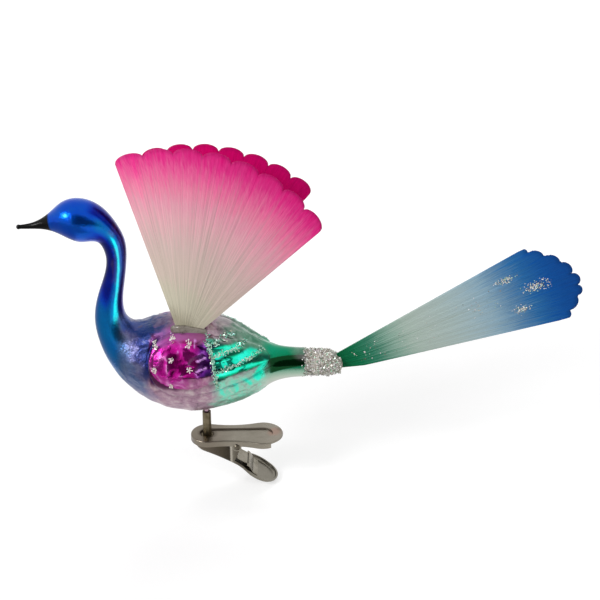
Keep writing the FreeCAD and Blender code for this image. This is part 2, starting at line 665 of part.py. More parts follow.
def stem_tube():
    """A tapered tube whose bead and flared foot hold it in the plate, free to turn."""
    body = turned("stem", "XZ_Plane", "V_Axis", [
        ("stem_top_radius - stem_wall", "stem_top_z"), ("stem_top_radius", "stem_top_z"),
        ("stem_foot_radius", BEAD_HIGH_Z), ("bead_radius", BEAD_HIGH_Z), ("bead_radius", BEAD_LOW_Z),
        ("stem_foot_radius", BEAD_LOW_Z), ("stem_foot_radius", FLARE_HIGH_Z),
        ("flare_radius", FLARE_HIGH_Z), ("flare_radius", FLARE_LOW_Z),
        ("stem_foot_radius - stem_wall", FLARE_LOW_Z), ("stem_foot_radius - stem_wall", BEAD_HIGH_Z)])
    return bind(body, Placement__Base__x="stem_x")


def stem_cement():
    """Cement that fills the stem round the glass pike."""
    top = "(stem_top_z - stem_cement_gap)"
    body = turned("cement_filling", "XZ_Plane", "V_Axis", [
        ("0", "cement_end_z"), (stem_bore("cement_end_z"), "cement_end_z"), (stem_bore(top), top),
        ("pike_radius", top), ("pike_radius", "pike_end_z"), ("0", "pike_end_z")])
    return bind(body, Placement__Base__x="stem_x")


# ---------------------------------------------------------------- blown glass
BREAST = 13
RUMP = len(STATIONS) - 1
# Where the pike's root ends, in the wall of the belly.
BELLY_Z = "(glass_z_18 - glass_radius_18 + glass_wall / 3)"


def glass_rings(name, first, last, grow):
    """Rings round the bird's axis at some of the stations, larger than the glass by grow."""
    return [ring(f"{name}_{number:02d}", f"glass_x_{number:02d}", f"glass_z_{number:02d}",
                 f"glass_radius_{number:02d} + {grow}", f"glass_heading_{number:02d}")
            for number in range(first, last + 1)]


def tube_end_ring(name, x, grow):
    """The ring at the tail tube's open end."""
    return ring(name, x, "tube_end_z", f"tube_end_radius + {grow}", "90")


def raised_zone(name, outline, relief):
    """A zone of the flanks raised over the glass by a relief, inside an outline seen from the side."""
    rings = glass_rings(f"{name}_ring", BREAST + 1, RUMP, relief)
    return common(name, loft(f"{name}_loft", rings), through(f"{name}_prism", outline))


def feather_outline(name, start_x, start_z, tip_x, tip_z, half_width):
    """A leaf of two arcs from a feather's root to its tip."""
    start, tip = Vector(start_x, start_z, 0), Vector(tip_x, tip_z, 0)
    along = (tip - start).normalize()
    aside = Vector(-along.y, along.x, 0) * half_width
    middle = (start + tip) / 2
    sketch = new_sketch(name, side=True)
    sketch.addGeometry(Part.Arc(start, middle + aside, tip))
    sketch.addGeometry(Part.Arc(tip, middle - aside, start))
    return sketch


def wing_pockets(name, grow, floor_z):
    """A rounded slot over each wing's root, open upwards, wider by grow."""
    slots = []
    for side in (-1, 1):
        slot = doc.addObject("Sketcher::SketchObject", f"{name}_outline_{side + 2}")
        reach = size("pocket_half_length - pocket_half_width")
        radius = f"pocket_half_width + {grow}"
        two_rounds_at(slot, reach, radius)
        bind(slot, Placement__Base__x="pocket_x", Placement__Base__y=f"{side} * pocket_y",
             Placement__Base__z=floor_z)
        slots.append(extrude(f"{name}_{side + 2}", slot, "pocket_reach"))
    return slots


def two_rounds_at(sketch, reach, radius):
    """Draws a slot of straight sides about the sketch's own origin."""
    return two_rounds(sketch, (f"-1 * {reach}", radius), (f"{reach}", radius))


def glass_body():
    """The hollow bird, its beak drawn out solid, with its tail tube open and a pike under the belly."""
    skin = loft("glass_skin",
                glass_rings("skin", 0, RUMP, "0") + [tube_end_ring("skin_end", "tube_end_x", "0")])
    wing = smooth_outline(new_sketch("wing_outline", side=True), WING_OUTLINE)
    shoulder = smooth_outline(new_sketch("shoulder_outline", side=True), SHOULDER_OUTLINE)
    raised = [raised_zone("moulded_wing", wing, "wing_relief"),
              raised_zone("moulded_shoulder", shoulder, "shoulder_relief")]
    for number, feather in enumerate(FEATHERS):
        outline = feather_outline(f"feather_outline_{number}", *feather)
        raised.append(raised_zone(f"feather_{number}", outline, f"feather_relief - {number} * feather_step"))
    pike = cylinder("pike", "stem_x", "0", "pike_end_z", "pike_radius", f"{BELLY_Z} - pike_end_z")
    root = doc.addObject("Part::Cone", "pike_root")
    bind(root, Radius1="pike_radius", Radius2="pike_root_radius", Height="pike_root_height",
         Placement__Base__x="stem_x", Placement__Base__z=f"{BELLY_Z} - pike_root_height")
    blob = doc.addObject("Part::Sphere", "beak_blob")
    bind(blob, Radius="beak_blob_radius", Placement__Base__x="glass_x_00", Placement__Base__z="glass_z_00")
    solid = fuse("glass_solid", skin, *raised, pike, root, blob)
    hollow = loft("glass_hollow", glass_rings("hollow", 2, RUMP, "-1 * glass_wall")
                  + [tube_end_ring("hollow_end", "tube_end_x + glass_wall", "-1 * glass_wall")])
    pocket_walls = wing_pockets("pocket_wall", "pocket_wall", "pocket_floor_z - pocket_wall")
    cavity = cut("glass_cavity", hollow, *pocket_walls)
    return cut("glass_blown", solid, cavity, *wing_pockets("pocket", "0", "pocket_floor_z"))


# ---------------------------------------------------------------- spun-glass fans
def fan_outline(sketch, kind, root_start, *root_end):
    """Draws a fan: straight edges from the root, and scallops along a bulging arc between their ends."""
    corners = [from_hub(kind, edge, along=size(f"{kind}_{edge}_length")) for edge in ("first", "last")]
    chord = corners[1] - corners[0]
    outwards = Vector(-chord.y, chord.x, 0).normalize()
    bulge = size(f"{kind}_bulge")
    notch = (chord.Length ** 2 / 4 + bulge ** 2) / (2 * bulge)
    centre = (corners[0] + corners[1]) / 2 + outwards * (bulge - notch)
    tip = notch + size(f"{kind}_scallop_depth")
    scallops = int(size(f"{kind}_scallops"))
    start = math.atan2(corners[0].y - centre.y, corners[0].x - centre.x)
    sweep = (start - math.atan2(corners[1].y - centre.y, corners[1].x - centre.x)) % (2 * math.pi)
    step = sweep / scallops

    def on_arc(reach, steps):
        angle = start - steps * step
        return centre + Vector(reach * math.cos(angle), reach * math.sin(angle), 0)

    sketch.addGeometry(Part.LineSegment(root_start, corners[0]))
    for number in range(scallops):
        sketch.addGeometry(Part.Arc(on_arc(notch, number), on_arc(tip, number + 0.5),
                                    on_arc(notch, number + 1)))
    run = [corners[1], *root_end, root_start]
    for start_point, end_point in zip(run, run[1:]):
        sketch.addGeometry(Part.LineSegment(start_point, end_point))
    return sketch


def from_hub(kind, edge, along=None, x=None, z=None):
    """A point on a straight edge of a fan: at a length from the hub, or at a given x or z."""
    hub = Vector(size(f"{kind}_hub_x"), size(f"{kind}_hub_z"), 0)
    angle = math.radians(size(f"{kind}_{edge}_angle"))
    if x is not None:
        along = (x - hub.x) / math.cos(angle)
    if z is not None:
        along = (z - hub.y) / math.sin(angle)
    return hub + Vector(along * math.cos(angle), along * math.sin(angle), 0)


def wing(name, kind, side):
    """One raised wing of spun glass, upright in its pocket."""
    root_z = size("wing_root_z")
    sketch = new_sketch(f"{name}_outline", side=True)
    fan_outline(sketch, kind, from_hub(kind, "first", z=root_z), from_hub(kind, "last", z=root_z))
    bind(sketch, Placement__Base__y=f"{side} * pocket_y")
    return extrude(f"{name}_fan", sketch, "wing_thickness", Vector(0, 1, 0), True)


def tail():
    """The tail of spun glass, upright on the mirror plane, its lower fibres gathered at the root."""
    root_x = size("tail_root_x")
    sketch = new_sketch("tail_outline", side=True)
    fan_outline(sketch, "tail", from_hub("tail", "first", x=root_x),
                from_hub("tail", "last", x=size("tail_pinch_x")), Vector(root_x, size("tail_pinch_z"), 0))
    return extrude("tail_sheet", sketch, "tail_thickness", Vector(0, 1, 0), True)


# ---------------------------------------------------------------- cement and collar
def wing_cement(name, side, wing_fan):
    """Cement that fills a wing pocket round the wing's root."""
    sketch = doc.addObject("Sketcher::SketchObject", f"{name}_outline")
    two_rounds_at(sketch, size("pocket_half_length - pocket_half_width"), "pocket_half_width")
    bind(sketch, Placement__Base__x="pocket_x", Placement__Base__y=f"{side} * pocket_y",
         Placement__Base__z="pocket_floor_z")
    filling = extrude(f"{name}_filling", sketch, "cement_z - pocket_floor_z")
    return cut(f"{name}_set", filling, wing_fan)


def plug_rings(name, grow):
    """Rings of the part of the plug behind the tube: straight, then a nose that points at the fan."""
    return [ring(f"{name}_a", "tube_end_x", "tube_end_z", f"collar_radius + {grow}", "90"),
            ring(f"{name}_b", "collar_end_x", "tube_end_z", f"collar_radius + {grow}", "90"),
            ring(f"{name}_c", "nose_end_x", "tube_end_z - nose_drop", f"nose_radius + {grow}", "90")]


def tail_plug_and_collar(tail_fan):
    """The cement plug in the tail tube and the glitter collar round it, both set round the fan's root."""
    seat = cylinder("plug_seat", "plug_start_x", "0", "tube_end_z",
                    "tube_end_radius - glass_wall - plug_play", "tube_end_x - plug_start_x",
                    Vector(0, 1, 0), 90)
    core = loft("plug_core", plug_rings("plug_ring", "-1 * collar_wall"), ruled=True)
    coat = loft("collar_coat", plug_rings("collar_ring", "0"), ruled=True)
    plug = cut("plug_set", fuse("plug_whole", seat, core), tail_fan)
    collar = cut("collar_set", coat, core, tail_fan)
    return plug, collar


# ---------------------------------------------------------------- the pieces
piece("clip_top_plate", top_plate())
piece("clip_lower_lever", lower_lever())
piece("clip_spring", spring())
piece("pivot_pin", pivot_pin())
piece("stem_tube", stem_tube())
piece("stem_cement", stem_cement())
piece("glass_body", glass_body())
for name, side in (("left", -1), ("right", 1)):
    fan = piece(f"wing_{name}", wing(f"wing_{name}", f"{name}_wing", side))
    piece(f"wing_cement_{name}", wing_cement(f"wing_cement_{name}", side, fan))
piece("tail_fan", tail())
plug, collar = tail_plug_and_collar(PIECES["tail_fan"])
piece("tail_plug", plug)
piece("glitter_collar", collar)

doc.recompute()
failed = [feature.Label for feature in doc.Objects if {"Invalid", "Error"} & set(feature.State)]
if failed:
    raise RuntimeError(f"features failed: {failed}")
for name, feature in PIECES.items():
    if feature.Shape.isNull() or not feature.Shape.isValid() or not feature.Shape.Solids:
        raise RuntimeError(f"{name} is not a valid solid")
os.makedirs("parts", exist_ok=True)
for name, feature in PIECES.items():
    feature.Shape.exportStep(f"parts/{name}.step")
    print(f"{name}: {len(feature.Shape.Solids)} solid, {feature.Shape.Volume:.2f} mm3")
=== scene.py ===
"""A hand-blown glass bird with spun-glass wings and tail, on a spring clip."""
import itertools
import math

import bpy
import numpy as np
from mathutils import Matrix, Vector


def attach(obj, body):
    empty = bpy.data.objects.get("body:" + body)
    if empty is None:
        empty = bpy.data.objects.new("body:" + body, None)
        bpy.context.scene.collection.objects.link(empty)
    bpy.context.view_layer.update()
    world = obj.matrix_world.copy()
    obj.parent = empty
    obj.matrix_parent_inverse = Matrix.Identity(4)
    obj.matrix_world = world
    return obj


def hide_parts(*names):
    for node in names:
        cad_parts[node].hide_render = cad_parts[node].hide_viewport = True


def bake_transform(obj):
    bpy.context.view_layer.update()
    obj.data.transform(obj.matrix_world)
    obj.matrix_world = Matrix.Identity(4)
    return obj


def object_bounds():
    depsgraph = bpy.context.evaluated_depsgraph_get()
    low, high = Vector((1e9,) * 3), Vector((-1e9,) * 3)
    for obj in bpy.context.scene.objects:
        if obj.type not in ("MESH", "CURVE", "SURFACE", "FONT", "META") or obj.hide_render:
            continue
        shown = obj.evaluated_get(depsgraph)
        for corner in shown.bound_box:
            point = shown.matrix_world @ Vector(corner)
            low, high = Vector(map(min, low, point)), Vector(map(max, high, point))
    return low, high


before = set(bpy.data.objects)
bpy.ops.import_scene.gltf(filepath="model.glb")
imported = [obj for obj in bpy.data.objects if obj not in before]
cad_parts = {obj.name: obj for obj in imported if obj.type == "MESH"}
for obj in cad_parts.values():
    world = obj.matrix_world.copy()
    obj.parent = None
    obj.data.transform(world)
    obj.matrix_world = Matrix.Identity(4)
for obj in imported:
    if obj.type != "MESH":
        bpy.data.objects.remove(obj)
CAD_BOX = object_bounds()
MM = 0.001
rng = np.random.default_rng(11)


# -------- numbers over points
def edge(low, high, value):
    """An edge: 0 up to low, 1 from high on, smooth between. With low the greater of the two, it falls."""
    share = np.clip((value - low) / (high - low), 0, 1)
    return share * share * (3 - 2 * share)


def mix(a, b, share):
    return a + (b - a) * share


def bell(value, middle, width):
    """1 at the middle, falling off to both sides."""
    return np.exp(-((value - middle) / width) ** 2)


def normed(run):
    """Directions at length 1."""
    return run / np.linalg.norm(run, axis=-1, keepdims=True)


def unit(turn):
    """Directions in a plane, at angles in radians."""
    return np.stack([np.cos(turn), np.sin(turn)], axis=-1)


def left(run):
    """Directions in a plane, turned a quarter to the left."""
    return np.stack([-run[..., 1], run[..., 0]], axis=-1)


def circle(count):
    """Angles evenly spaced round a full turn."""
    return np.linspace(0, 2 * np.pi, count, endpoint=False)


def upright(flat, y):
    """Points given in the side view, at y."""
    return np.stack([flat[..., 0], np.broadcast_to(y, flat.shape[:-1]), flat[..., 1]], axis=-1)


def spline(knots, values, at):
    """Values of a natural cubic spline through the knots."""
    count = len(knots)
    step = np.diff(knots)
    slope = np.diff(values, axis=0) / step[:, None]
    system = np.eye(count)
    right = np.zeros_like(values)
    for k in range(1, count - 1):
        system[k, k - 1:k + 2] = step[k - 1], 2 * (step[k - 1] + step[k]), step[k]
        right[k] = 6 * (slope[k] - slope[k - 1])
    bend = np.linalg.solve(system, right)
    k = np.clip(np.searchsorted(knots, at) - 1, 0, count - 2)
    h = step[k][:, None]
    a = ((knots[k + 1] - at) / step[k])[:, None]
    b = 1 - a
    cubic = (a ** 3 - a) * bend[k] + (b ** 3 - b) * bend[k + 1]
    return a * values[k] + b * values[k + 1] + cubic * h ** 2 / 6


def length_along(points):
    """Distance along a line of points, from its first."""
    return np.concatenate([[0], np.cumsum(np.linalg.norm(np.diff(points, axis=0), axis=1))])


def value_noise(points, cell, seed):
    """Smooth noise from 0 to 1 with a given cell size."""
    spot = points / cell
    low = np.floor(spot).astype(np.int64)
    part = edge(0, 1, spot - low)
    total = np.zeros(len(points))
    for corner in itertools.product((0, 1), repeat=3):
        at = low + corner
        code = (at[:, 0] * 73856093) ^ (at[:, 1] * 19349663) ^ (at[:, 2] * 83492791) ^ (seed * 2654435761)
        code = (code ^ (code >> 13)) * 1274126177 & 0x7FFFFFFF
        weight = np.prod(np.where(corner, part, 1 - part), axis=1)
        total += (code / 0x7FFFFFFF) * weight
    return total


def lumps(points, *layers):
    """Noise round 0, summed from layers of height, cell size and seed."""
    return sum(height * (value_noise(points, cell, seed) - 0.5) for height, cell, seed in layers)


def creases(points, cell, seed):
    """Noise from 0 to 1 whose high values run in thin ridges, as in crumpled foil."""
    warp = np.stack([value_noise(points + 31 * k, cell * 1.7, seed + k) for k in range(3)], axis=1) - 0.5
    return 1 - np.abs(2 * value_noise(points + warp * cell * 1.6, cell, seed + 9) - 1)


def run_distance(flat, start, end):
    """Distance from each point to a straight run."""
    run = np.array(end) - start
    share = np.clip((flat - start) @ run / (run @ run), 0, 1)
    return np.linalg.norm(flat - start - share[:, None] * run, axis=1)


def side_distance(flat, outline):
    """Signed distance to a closed outline: negative inside."""
    best = np.full(len(flat), 1e9)
    inside = np.zeros(len(flat), bool)
    for a, b in zip(outline, np.roll(outline, -1, axis=0)):
        best = np.minimum(best, run_distance(flat, a, b))
        crossing = (a[1] > flat[:, 1]) != (b[1] > flat[:, 1])
        if a[1] != b[1]:
            inside ^= crossing & (flat[:, 0] < a[0] + (flat[:, 1] - a[1]) / (b[1] - a[1]) * (b[0] - a[0]))
    return np.where(inside, -best, best)


def closed_curve(points, count=160):
    """A smooth closed curve through points."""
    wrapped = np.array(points[-3:] + points + points[:3], float)
    knots = length_along(wrapped)
    return spline(knots, wrapped, np.linspace(knots[3], knots[3 + len(points)], count, endpoint=False))


# -------- meshes
def add_object(name, data):
    """A new object in the scene, from a mesh, a lamp's data or a camera's."""
    piece = bpy.data.objects.new(name, data)
    bpy.context.scene.collection.objects.link(piece)
    return piece


def make_object(name, verts, faces, material, body="bird", is_smooth=True):
    """A mesh object from points in millimetres, riding on a body where one is given."""
    mesh = bpy.data.meshes.new(name)
    mesh.from_pydata((verts * MM).tolist(), [], faces)
    mesh.polygons.foreach_set("use_smooth", [is_smooth] * len(mesh.polygons))
    mesh.materials.append(material)
    mesh.update()
    piece = add_object(name, mesh)
    if body:
        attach(piece, body)
    return piece


def store(piece, **layers):
    """Stores a number for each vertex under each name, for the materials to read."""
    for name, values in layers.items():
        layer = piece.data.attributes.new(name, "FLOAT", "POINT")
        layer.data.foreach_set("value", np.ascontiguousarray(values, dtype=np.float32))


def tube_faces(rows, columns, step=1):
    """Quads between rings of points, which face the other way where step is -1."""
    nexts = [(k, (k + 1) % columns) for k in range(columns)]
    return [(base + k, base + after, base + columns + after, base + columns + k)[::step]
            for base in range(0, (rows - 1) * columns, columns) for k, after in nexts]


def fan_faces(first, count, tip):
    """Triangles from a ring of points, which starts at first, to a tip."""
    return [(first + k, first + (k + 1) % count, tip) for k in range(count)]


def ring_face(first, count, step=1):
    """One face across a ring of points, which faces the other way where step is -1."""
    return tuple(range(first, first + count))[::step]


def srgb(code):
    """A colour written as six hex digits, in linear light."""
    parts = [int(code[k:k + 2], 16) / 255 for k in (0, 2, 4)]
    return tuple(c / 12.92 if c <= 0.04045 else ((c + 0.055) / 1.055) ** 2.4 for c in parts) + (1,)


# -------- materials
class Look:
    """A material, or the world, and short ways to add nodes to it. Its place is in millimetres."""

    def __init__(self, name, world=None, **settings):
        self.material = world or bpy.data.materials.new(name)
        self.material.use_nodes = True
        self.nodes = self.material.node_tree.nodes
        self.links = self.material.node_tree.links
        self.shader = self.nodes["Background" if world else "Principled BSDF"]
        for socket, value in settings.items():
            self.set(socket.replace("_", " "), value)
        self.where = self.node("TexCoord").outputs
        scaled = self.node("VectorMath", {0: self.where["Object"], "Scale": 1 / MM}, operation="SCALE")
        self.place = scaled.outputs[0]

    def put(self, socket, value):
        """Links a socket, or sets it to a number, a vector or a colour's code."""
        if isinstance(value, bpy.types.NodeSocket):
            self.links.new(value, socket)
        else:
            socket.default_value = srgb(value) if isinstance(value, str) else value

    def set(self, name, value):
        self.put(self.shader.inputs[name], value)

    def node(self, kind, inputs=(), **settings):
        """Adds a node, with its inputs in order or by name."""
        node = self.nodes.new("ShaderNode" + kind)
        for name, value in settings.items():
            setattr(node, name, value)
        for key, value in inputs.items() if isinstance(inputs, dict) else enumerate(inputs):
            self.put(node.inputs[key], value)
        return node

    def attribute(self, name):
        return self.node("Attribute", attribute_name=name).outputs["Fac"]

    def math(self, kind, *values):
        return self.node("Math", values, operation=kind).outputs[0]

    def vector(self, kind, *values):
        node = self.node("VectorMath", values, operation=kind)
        return node.outputs["Value" if kind == "LENGTH" else "Vector"]

    def join(self, x, y, z):
        return self.node("CombineXYZ", (x, y, z)).outputs[0]

    def noise(self, size, detail=2, rough=0.5, place=None, warp=0):
        """Noise from 0 to 1 whose features are about size across."""
        inputs = {"Vector": place or self.place, "Scale": 1 / size, "Detail": detail, "Roughness": rough,
                  "Distortion": warp}
        return self.node("TexNoise", inputs).outputs["Fac"]

    def band(self, value, low, high, to_low=0, to_high=1):
        """Maps a range of a value to another, clamped."""
        return self.node("MapRange", (value, low, high, to_low, to_high)).outputs[0]

    def shift(self, value, by, *ranges):
        """A value plus a band of another."""
        return self.math("ADD", value, self.band(by, *ranges))

    def blend(self, share, a, b, kind="MIX"):
        return self.node("Mix", {0: share, 6: a, 7: b}, data_type="RGBA", blend_type=kind).outputs[2]

    def coat(self, mask, under, over):
        """Lays a colour over another where the piece's stored numbers say."""
        return self.blend(self.attribute(mask), under, over)

    def shade(self, colour, share):
        """A colour times a number."""
        return self.blend(1, colour, self.join(share, share, share), "MULTIPLY")

    def ramp(self, value, stops, first=0, last=100):
        """Colours over a value from 0 to 1, at places counted from first to last: "25 6E5866, 42 9C7A8E"."""
        if isinstance(stops, str):
            stops = [stop.split() for stop in stops.split(", ")]
        node = self.node("ValToRGB", [value])
        elements = node.color_ramp.elements
        while len(elements) < len(stops):
            elements.new(0.5)
        for element, (place, colour) in zip(elements, stops):
            element.position = (float(place) - first) / (last - first)
            element.color = srgb(colour)
        return node.outputs["Color"]

    def bump(self, height, strength, distance):
        node = self.node("Bump", {"Height": height, "Strength": strength, "Distance": distance * MM})
        self.set("Normal", node.outputs[0])

    def seen(self, low, high):
        """High for the camera, reflections and glass, and low for all other rays."""
        rays = self.node("LightPath").outputs
        either = self.math("MAXIMUM", rays["Is Camera Ray"], rays["Is Glossy Ray"])
        return self.band(self.math("MAXIMUM", either, rays["Is Transmission Ray"]), 0, 1, low, high)


def lacquered_glass():
    """Silvered glass under coloured lacquer: frosted and crinkled, glossy on the painted zones, with painted
    highlights, shade and reflection in its coats.
    """
    look = Look("lacquered_glass", Specular_IOR_Level=0.12, Coat_Roughness=0.05)
    mottle = look.noise(2.6, 4, 0.6, warp=0.6)
    fine = look.noise(0.55, 3, 0.6)
    # The coats' tones follow the crests: painted highlight on the moulded crests and crumples, painted shade
    # in the folds between.
    depth = look.shift(look.attribute("crest"), mottle, 0, 1, -0.26, 0.26)
    tube_level = look.shift(look.attribute("tube_level"), fine, 0, 1, -0.04, 0.04)
    blue_depth_and_highlight = look.shift(look.attribute("blue_depth_and_highlight"), mottle, 0, 1, -0.06, 0.06)
    green_back = look.ramp(mottle, "25 1E5640, 50 4E8068, 70 709684, 85 A0B8AA")
    colour = look.ramp(mottle, "25 6E5866, 42 9C7A8E, 55 AC8E9C, 68 BEACB0, 85 D8D0D0")
    # Each coat: where it lies, what its tones follow, its tones, and where it takes another tone; that tone
    # is painted shade on the teal, the magenta and the blue.
    for mask, follows, tones, *other in (
            ("back", mottle, "25 345846, 42 5E7C6C, 55 87908A, 70 A0A098, 85 C4C4BA",
             "back_green", green_back),
            ("belly", mottle, "25 7F9A8C, 45 9CC4B2, 58 78D4B8, 72 B8CCC0, 90 DCE4DA"),
            ("tube", tube_level, "0 BCC0B6, 26 A9B9AA, 43 82A893, 53 106A4A, 62 00482A, 68 003616, "
             "79 003B18, 85 007A51, 100 00906A"),
            # Teal: its tones are painted lighter on the feathers' crests, as painted highlight, and its
            # second tone is painted shade.
            ("teal", depth, "0 004838, 25 007C58, 48 00A87C, 66 00E4B4, 90 50FFE4", "shade", "041C38"),
            ("lilac", depth, "0 2A3468, 14 504C80, 30 8066A0, 52 6C6A94, 75 6E789E, 100 909CC4"),
            # Magenta: its second tone is painted shade.
            ("magenta", depth, "5 44003A, 30 80005C, 55 AE0082, 80 C42A9E, 100 E88CD2", "deep", "48003C"),
            ("purple", depth, "10 0A0020, 40 240440, 62 3A0A5C, 78 641C84, 95 A85CC8"),
            # Blue: its top tones are the painted cyan highlight streak, and its second tone is painted shade
            # on the breast.
            ("blue", blue_depth_and_highlight, "0 000648, 20 001C98, 42 0046BC, 60 0068B0, 75 0080BC, 88 00C4EC, "
             "100 20F0FF", "dim", "1C4866"),
            # Gleams: painted turquoise highlights.
            ("gleam", mottle, "30 04E0B4, 70 30FFE4"),
            # Haze: painted reflection, a matt lilac-magenta along the patch's top.
            ("haze", look.attribute("painted_haze_tone"), "0 BC78C8, 30 A45498, 100 8C4A78")):
        coat = look.ramp(follows, tones)
        if other:
            coat = look.coat(other[0], coat, other[1])
        colour = look.coat(mask, colour, coat)
    # The glints are painted pink highlights, and the groove's line is painted shade; the beak is black paint.
    for mask, tone in (("painted_glint", "E4A8F4"), ("groove", "141A68"), ("beak", "050505")):
        colour = look.coat(mask, colour, tone)
    look.set("Base Color", colour)
    beak = look.attribute("beak")
    # Metallic is off on the beak and on the painted glints and haze, so that their painted colour shows as it
    # is.
    plain = look.math("MAXIMUM", look.math("MAXIMUM", beak, look.attribute("painted_glint")), look.attribute("haze"))
    look.set("Metallic", look.band(plain, 0, 1, 0.95, 0))
    look.set("Coat Weight", look.band(beak, 0, 1, 0.14, 0))
    frost = look.attribute("frost")
    look.set("Roughness", look.shift(look.band(frost, 0, 1, 0.13, 0.38), fine, 0, 1, -0.04, 0.05))
    crumple = look.math("ADD", look.noise(0.9, 3, 0.6, warp=0.8), fine)
    look.bump(look.math("MULTIPLY", crumple, look.band(frost, 0, 1, 0.12, 1)), 0.45, 0.3)
    return look.material


def spun_glass(name, tones, streak, edge_start, paleness):
    """A sheet of spun-glass fibres: silky streaks along the fan, dyed from the tip inwards.

    The tones are the colours at even steps from the root to the tip.
    """
    look = Look(name, Specular_IOR_Level=0.1)
    spread, reach = look.attribute("spread"), look.attribute("reach")

    def streaks(across, along, layer, detail, rough, over=spread):
        place = look.join(look.math("MULTIPLY", over, across), look.math("MULTIPLY", reach, along), layer)
        return look.noise(1, detail, rough, place)

    fibres = streaks(210, 2.2, 0, 3, 0.7)
    strands = streaks(46, 1.3, 4, 2, 0.6)
    leaning = look.math("ADD", spread, look.math("MULTIPLY", reach, 0.16))
    flecks = streaks(120, 16, 9, 2, 0.7, leaning)
    dye = look.shift(look.attribute("dye"), strands, 0.2, 0.8, -0.05, 0.05)
    dye = look.shift(dye, flecks, 0.25, 0.75, -0.035, 0.035)
    tones = tones.split()
    colour = look.ramp(dye, list(enumerate(tones)), last=len(tones) - 1)
    colour = look.shade(colour, look.math("MULTIPLY", look.band(fibres, 0.25, 0.75, 1 - streak, 1 + streak),
                                          look.band(strands, 0.25, 0.75, 1 - streak * 0.6, 1 + streak * 0.6)))
    colour = look.shade(colour, look.band(spread, 0, 0.55, paleness, 1))
    colour = look.shade(colour, look.band(look.attribute("rim"), 0, 1, 1, 0.72))
    look.set("Base Color", colour)
    look.set("Roughness", look.band(fibres, 0, 1, 0.34, 0.56))
    ragged = look.math("MULTIPLY", flecks, look.band(reach, edge_start, 1))
    look.bump(look.math("ADD", fibres, ragged), 0.5, 0.12)
    return look.material


def plated_steel(name, colour, worn, rough, spots=(), tones=(), channel=None):
    """Stamped steel under dull nickel: brushed, stained, with its own tone in named spots and along x, where
    painted shade, shadow and reflection are given.

    A channel's half width gives the walls inside it painted shade: a darker tone, and dull.
    """
    look = Look(name, Metallic=1)
    x, y, _ = look.node("SeparateXYZ", [look.place]).outputs
    stain = look.noise(3.2, 4, 0.6, warp=0.5)
    brushed = look.noise(1, 3, 0.6, look.vector("MULTIPLY", look.place, (0.5, 5, 3)))
    specks = look.noise(0.25, 2, 0.5)
    base = look.blend(look.band(stain, 0.4, 0.7), colour, worn)
    base = look.blend(look.band(specks, 0.64, 0.74, 0, 0.6), base, "3A2C20")
    if tones:
        first, last = tones[0][0], tones[-1][0]
        along = look.band(look.shift(x, specks, 0, 1, -0.2, 0.2), first, last)
        base = look.blend(look.band(stain, 0.3, 0.8, 0.95, 0.75), base, look.ramp(along, tones, first, last))
    # Spots: stains, and painted shadow and reflection where a table gives them.
    for place, inner, outer, tone, share in spots:
        apart = look.vector("LENGTH", look.vector("SUBTRACT", look.place, place))
        reach = look.shift(apart, stain, 0, 1, -0.9, 0.9)
        base = look.blend(look.band(reach, inner, outer, share, 0), base, tone)
    # Painted shade: the walls inside the channel take a darker, dull tone.
    if channel:
        normal = look.node("SeparateXYZ", [look.where["Normal"]]).outputs
        painted_shade_wall = look.math("MULTIPLY", look.band(look.math("ABSOLUTE", normal["Z"]), 0.3, 0.7, 1, 0),
                         look.band(look.math("ABSOLUTE", y), channel, channel + 0.2, 1, 0))
        base = look.blend(look.band(painted_shade_wall, 0, 1, 0, 0.85), base, "6C635A")
        look.set("Metallic", look.band(painted_shade_wall, 0, 1, 1, 0.1))
    look.set("Base Color", base)
    look.set("Roughness", look.shift(look.band(stain, 0.2, 0.8, rough - 0.07, rough + 0.12),
                                     brushed, 0.2, 0.8, -0.05, 0.05))
    look.bump(look.math("ADD", brushed, look.math("MULTIPLY", stain, 0.6)), 0.25, 0.06)
    return look.material


def cloudy_cement():
    """Glue that has run round the fans' roots: grey, cloudy and half clear."""
    look = Look("clear_cement", Transmission_Weight=0.25, IOR=1.48, Coat_Weight=0.3)
    cloud = look.noise(1.6, 4, 0.6, warp=0.8)
    look.set("Base Color", look.ramp(cloud, "30 6E665D, 55 8A8278, 80 A8A297"))
    look.set("Roughness", look.band(cloud, 0.2, 0.8, 0.2, 0.45))
    look.bump(cloud, 0.4, 0.2)
    return look.material


def glitter_material(name, metallic, tints):
    """Cut foil flakes, each with its own tint."""
    look = Look(name, Metallic=metallic)
    tint = look.attribute("tint")
    dust = look.band(look.noise(0.2, 2), 0.3, 0.7, 0, 0.25)
    look.set("Base Color", look.blend(dust, look.ramp(tint, tints), "7A746A"))
    look.set("Roughness", look.band(tint, 0, 1, 0.12, 0.3))
    look.bump(look.noise(0.08, 1), 0.1, 0.02)
    return look.material


def glue_base():
    """The bed of glue and dust under the glitter."""
    look = Look("silver_glitter_bed", Metallic=0.6)
    grain = look.node("TexVoronoi", {"Vector": look.place, "Scale": 1 / 0.28}).outputs["Distance"]
    look.set("Base Color", look.ramp(look.noise(0.35, 3, 0.7), "30 857F76, 50 B8B2A8, 70 E8E4DC"))
    look.set("Roughness", look.band(grain, 0, 0.6, 0.25, 0.6))
    look.bump(grain, 0.8, 0.15)
    return look.material


GLASS = lacquered_glass()
PINK = spun_glass("spun_glass_pink", "A49F8A BEB9A5 BFB8A5 C4B4A8 C5B2A8 C7AFA9 CEAAAA D6A2AA D994A6 DE7E9C "
                  "DF5E92 D73080 CC0E6E C60568", 0.17, 0.6, 1.22)
GREEN = spun_glass("spun_glass_green", "00482A 015732 026A43 357A62 84A596 A6B7AD A8B7B1 A4B6B4 9CB2B8 "
                   "8AA7B7 5C84A6 28669E 0C4E96 08448C", 0.24, 0.7, 1.05)
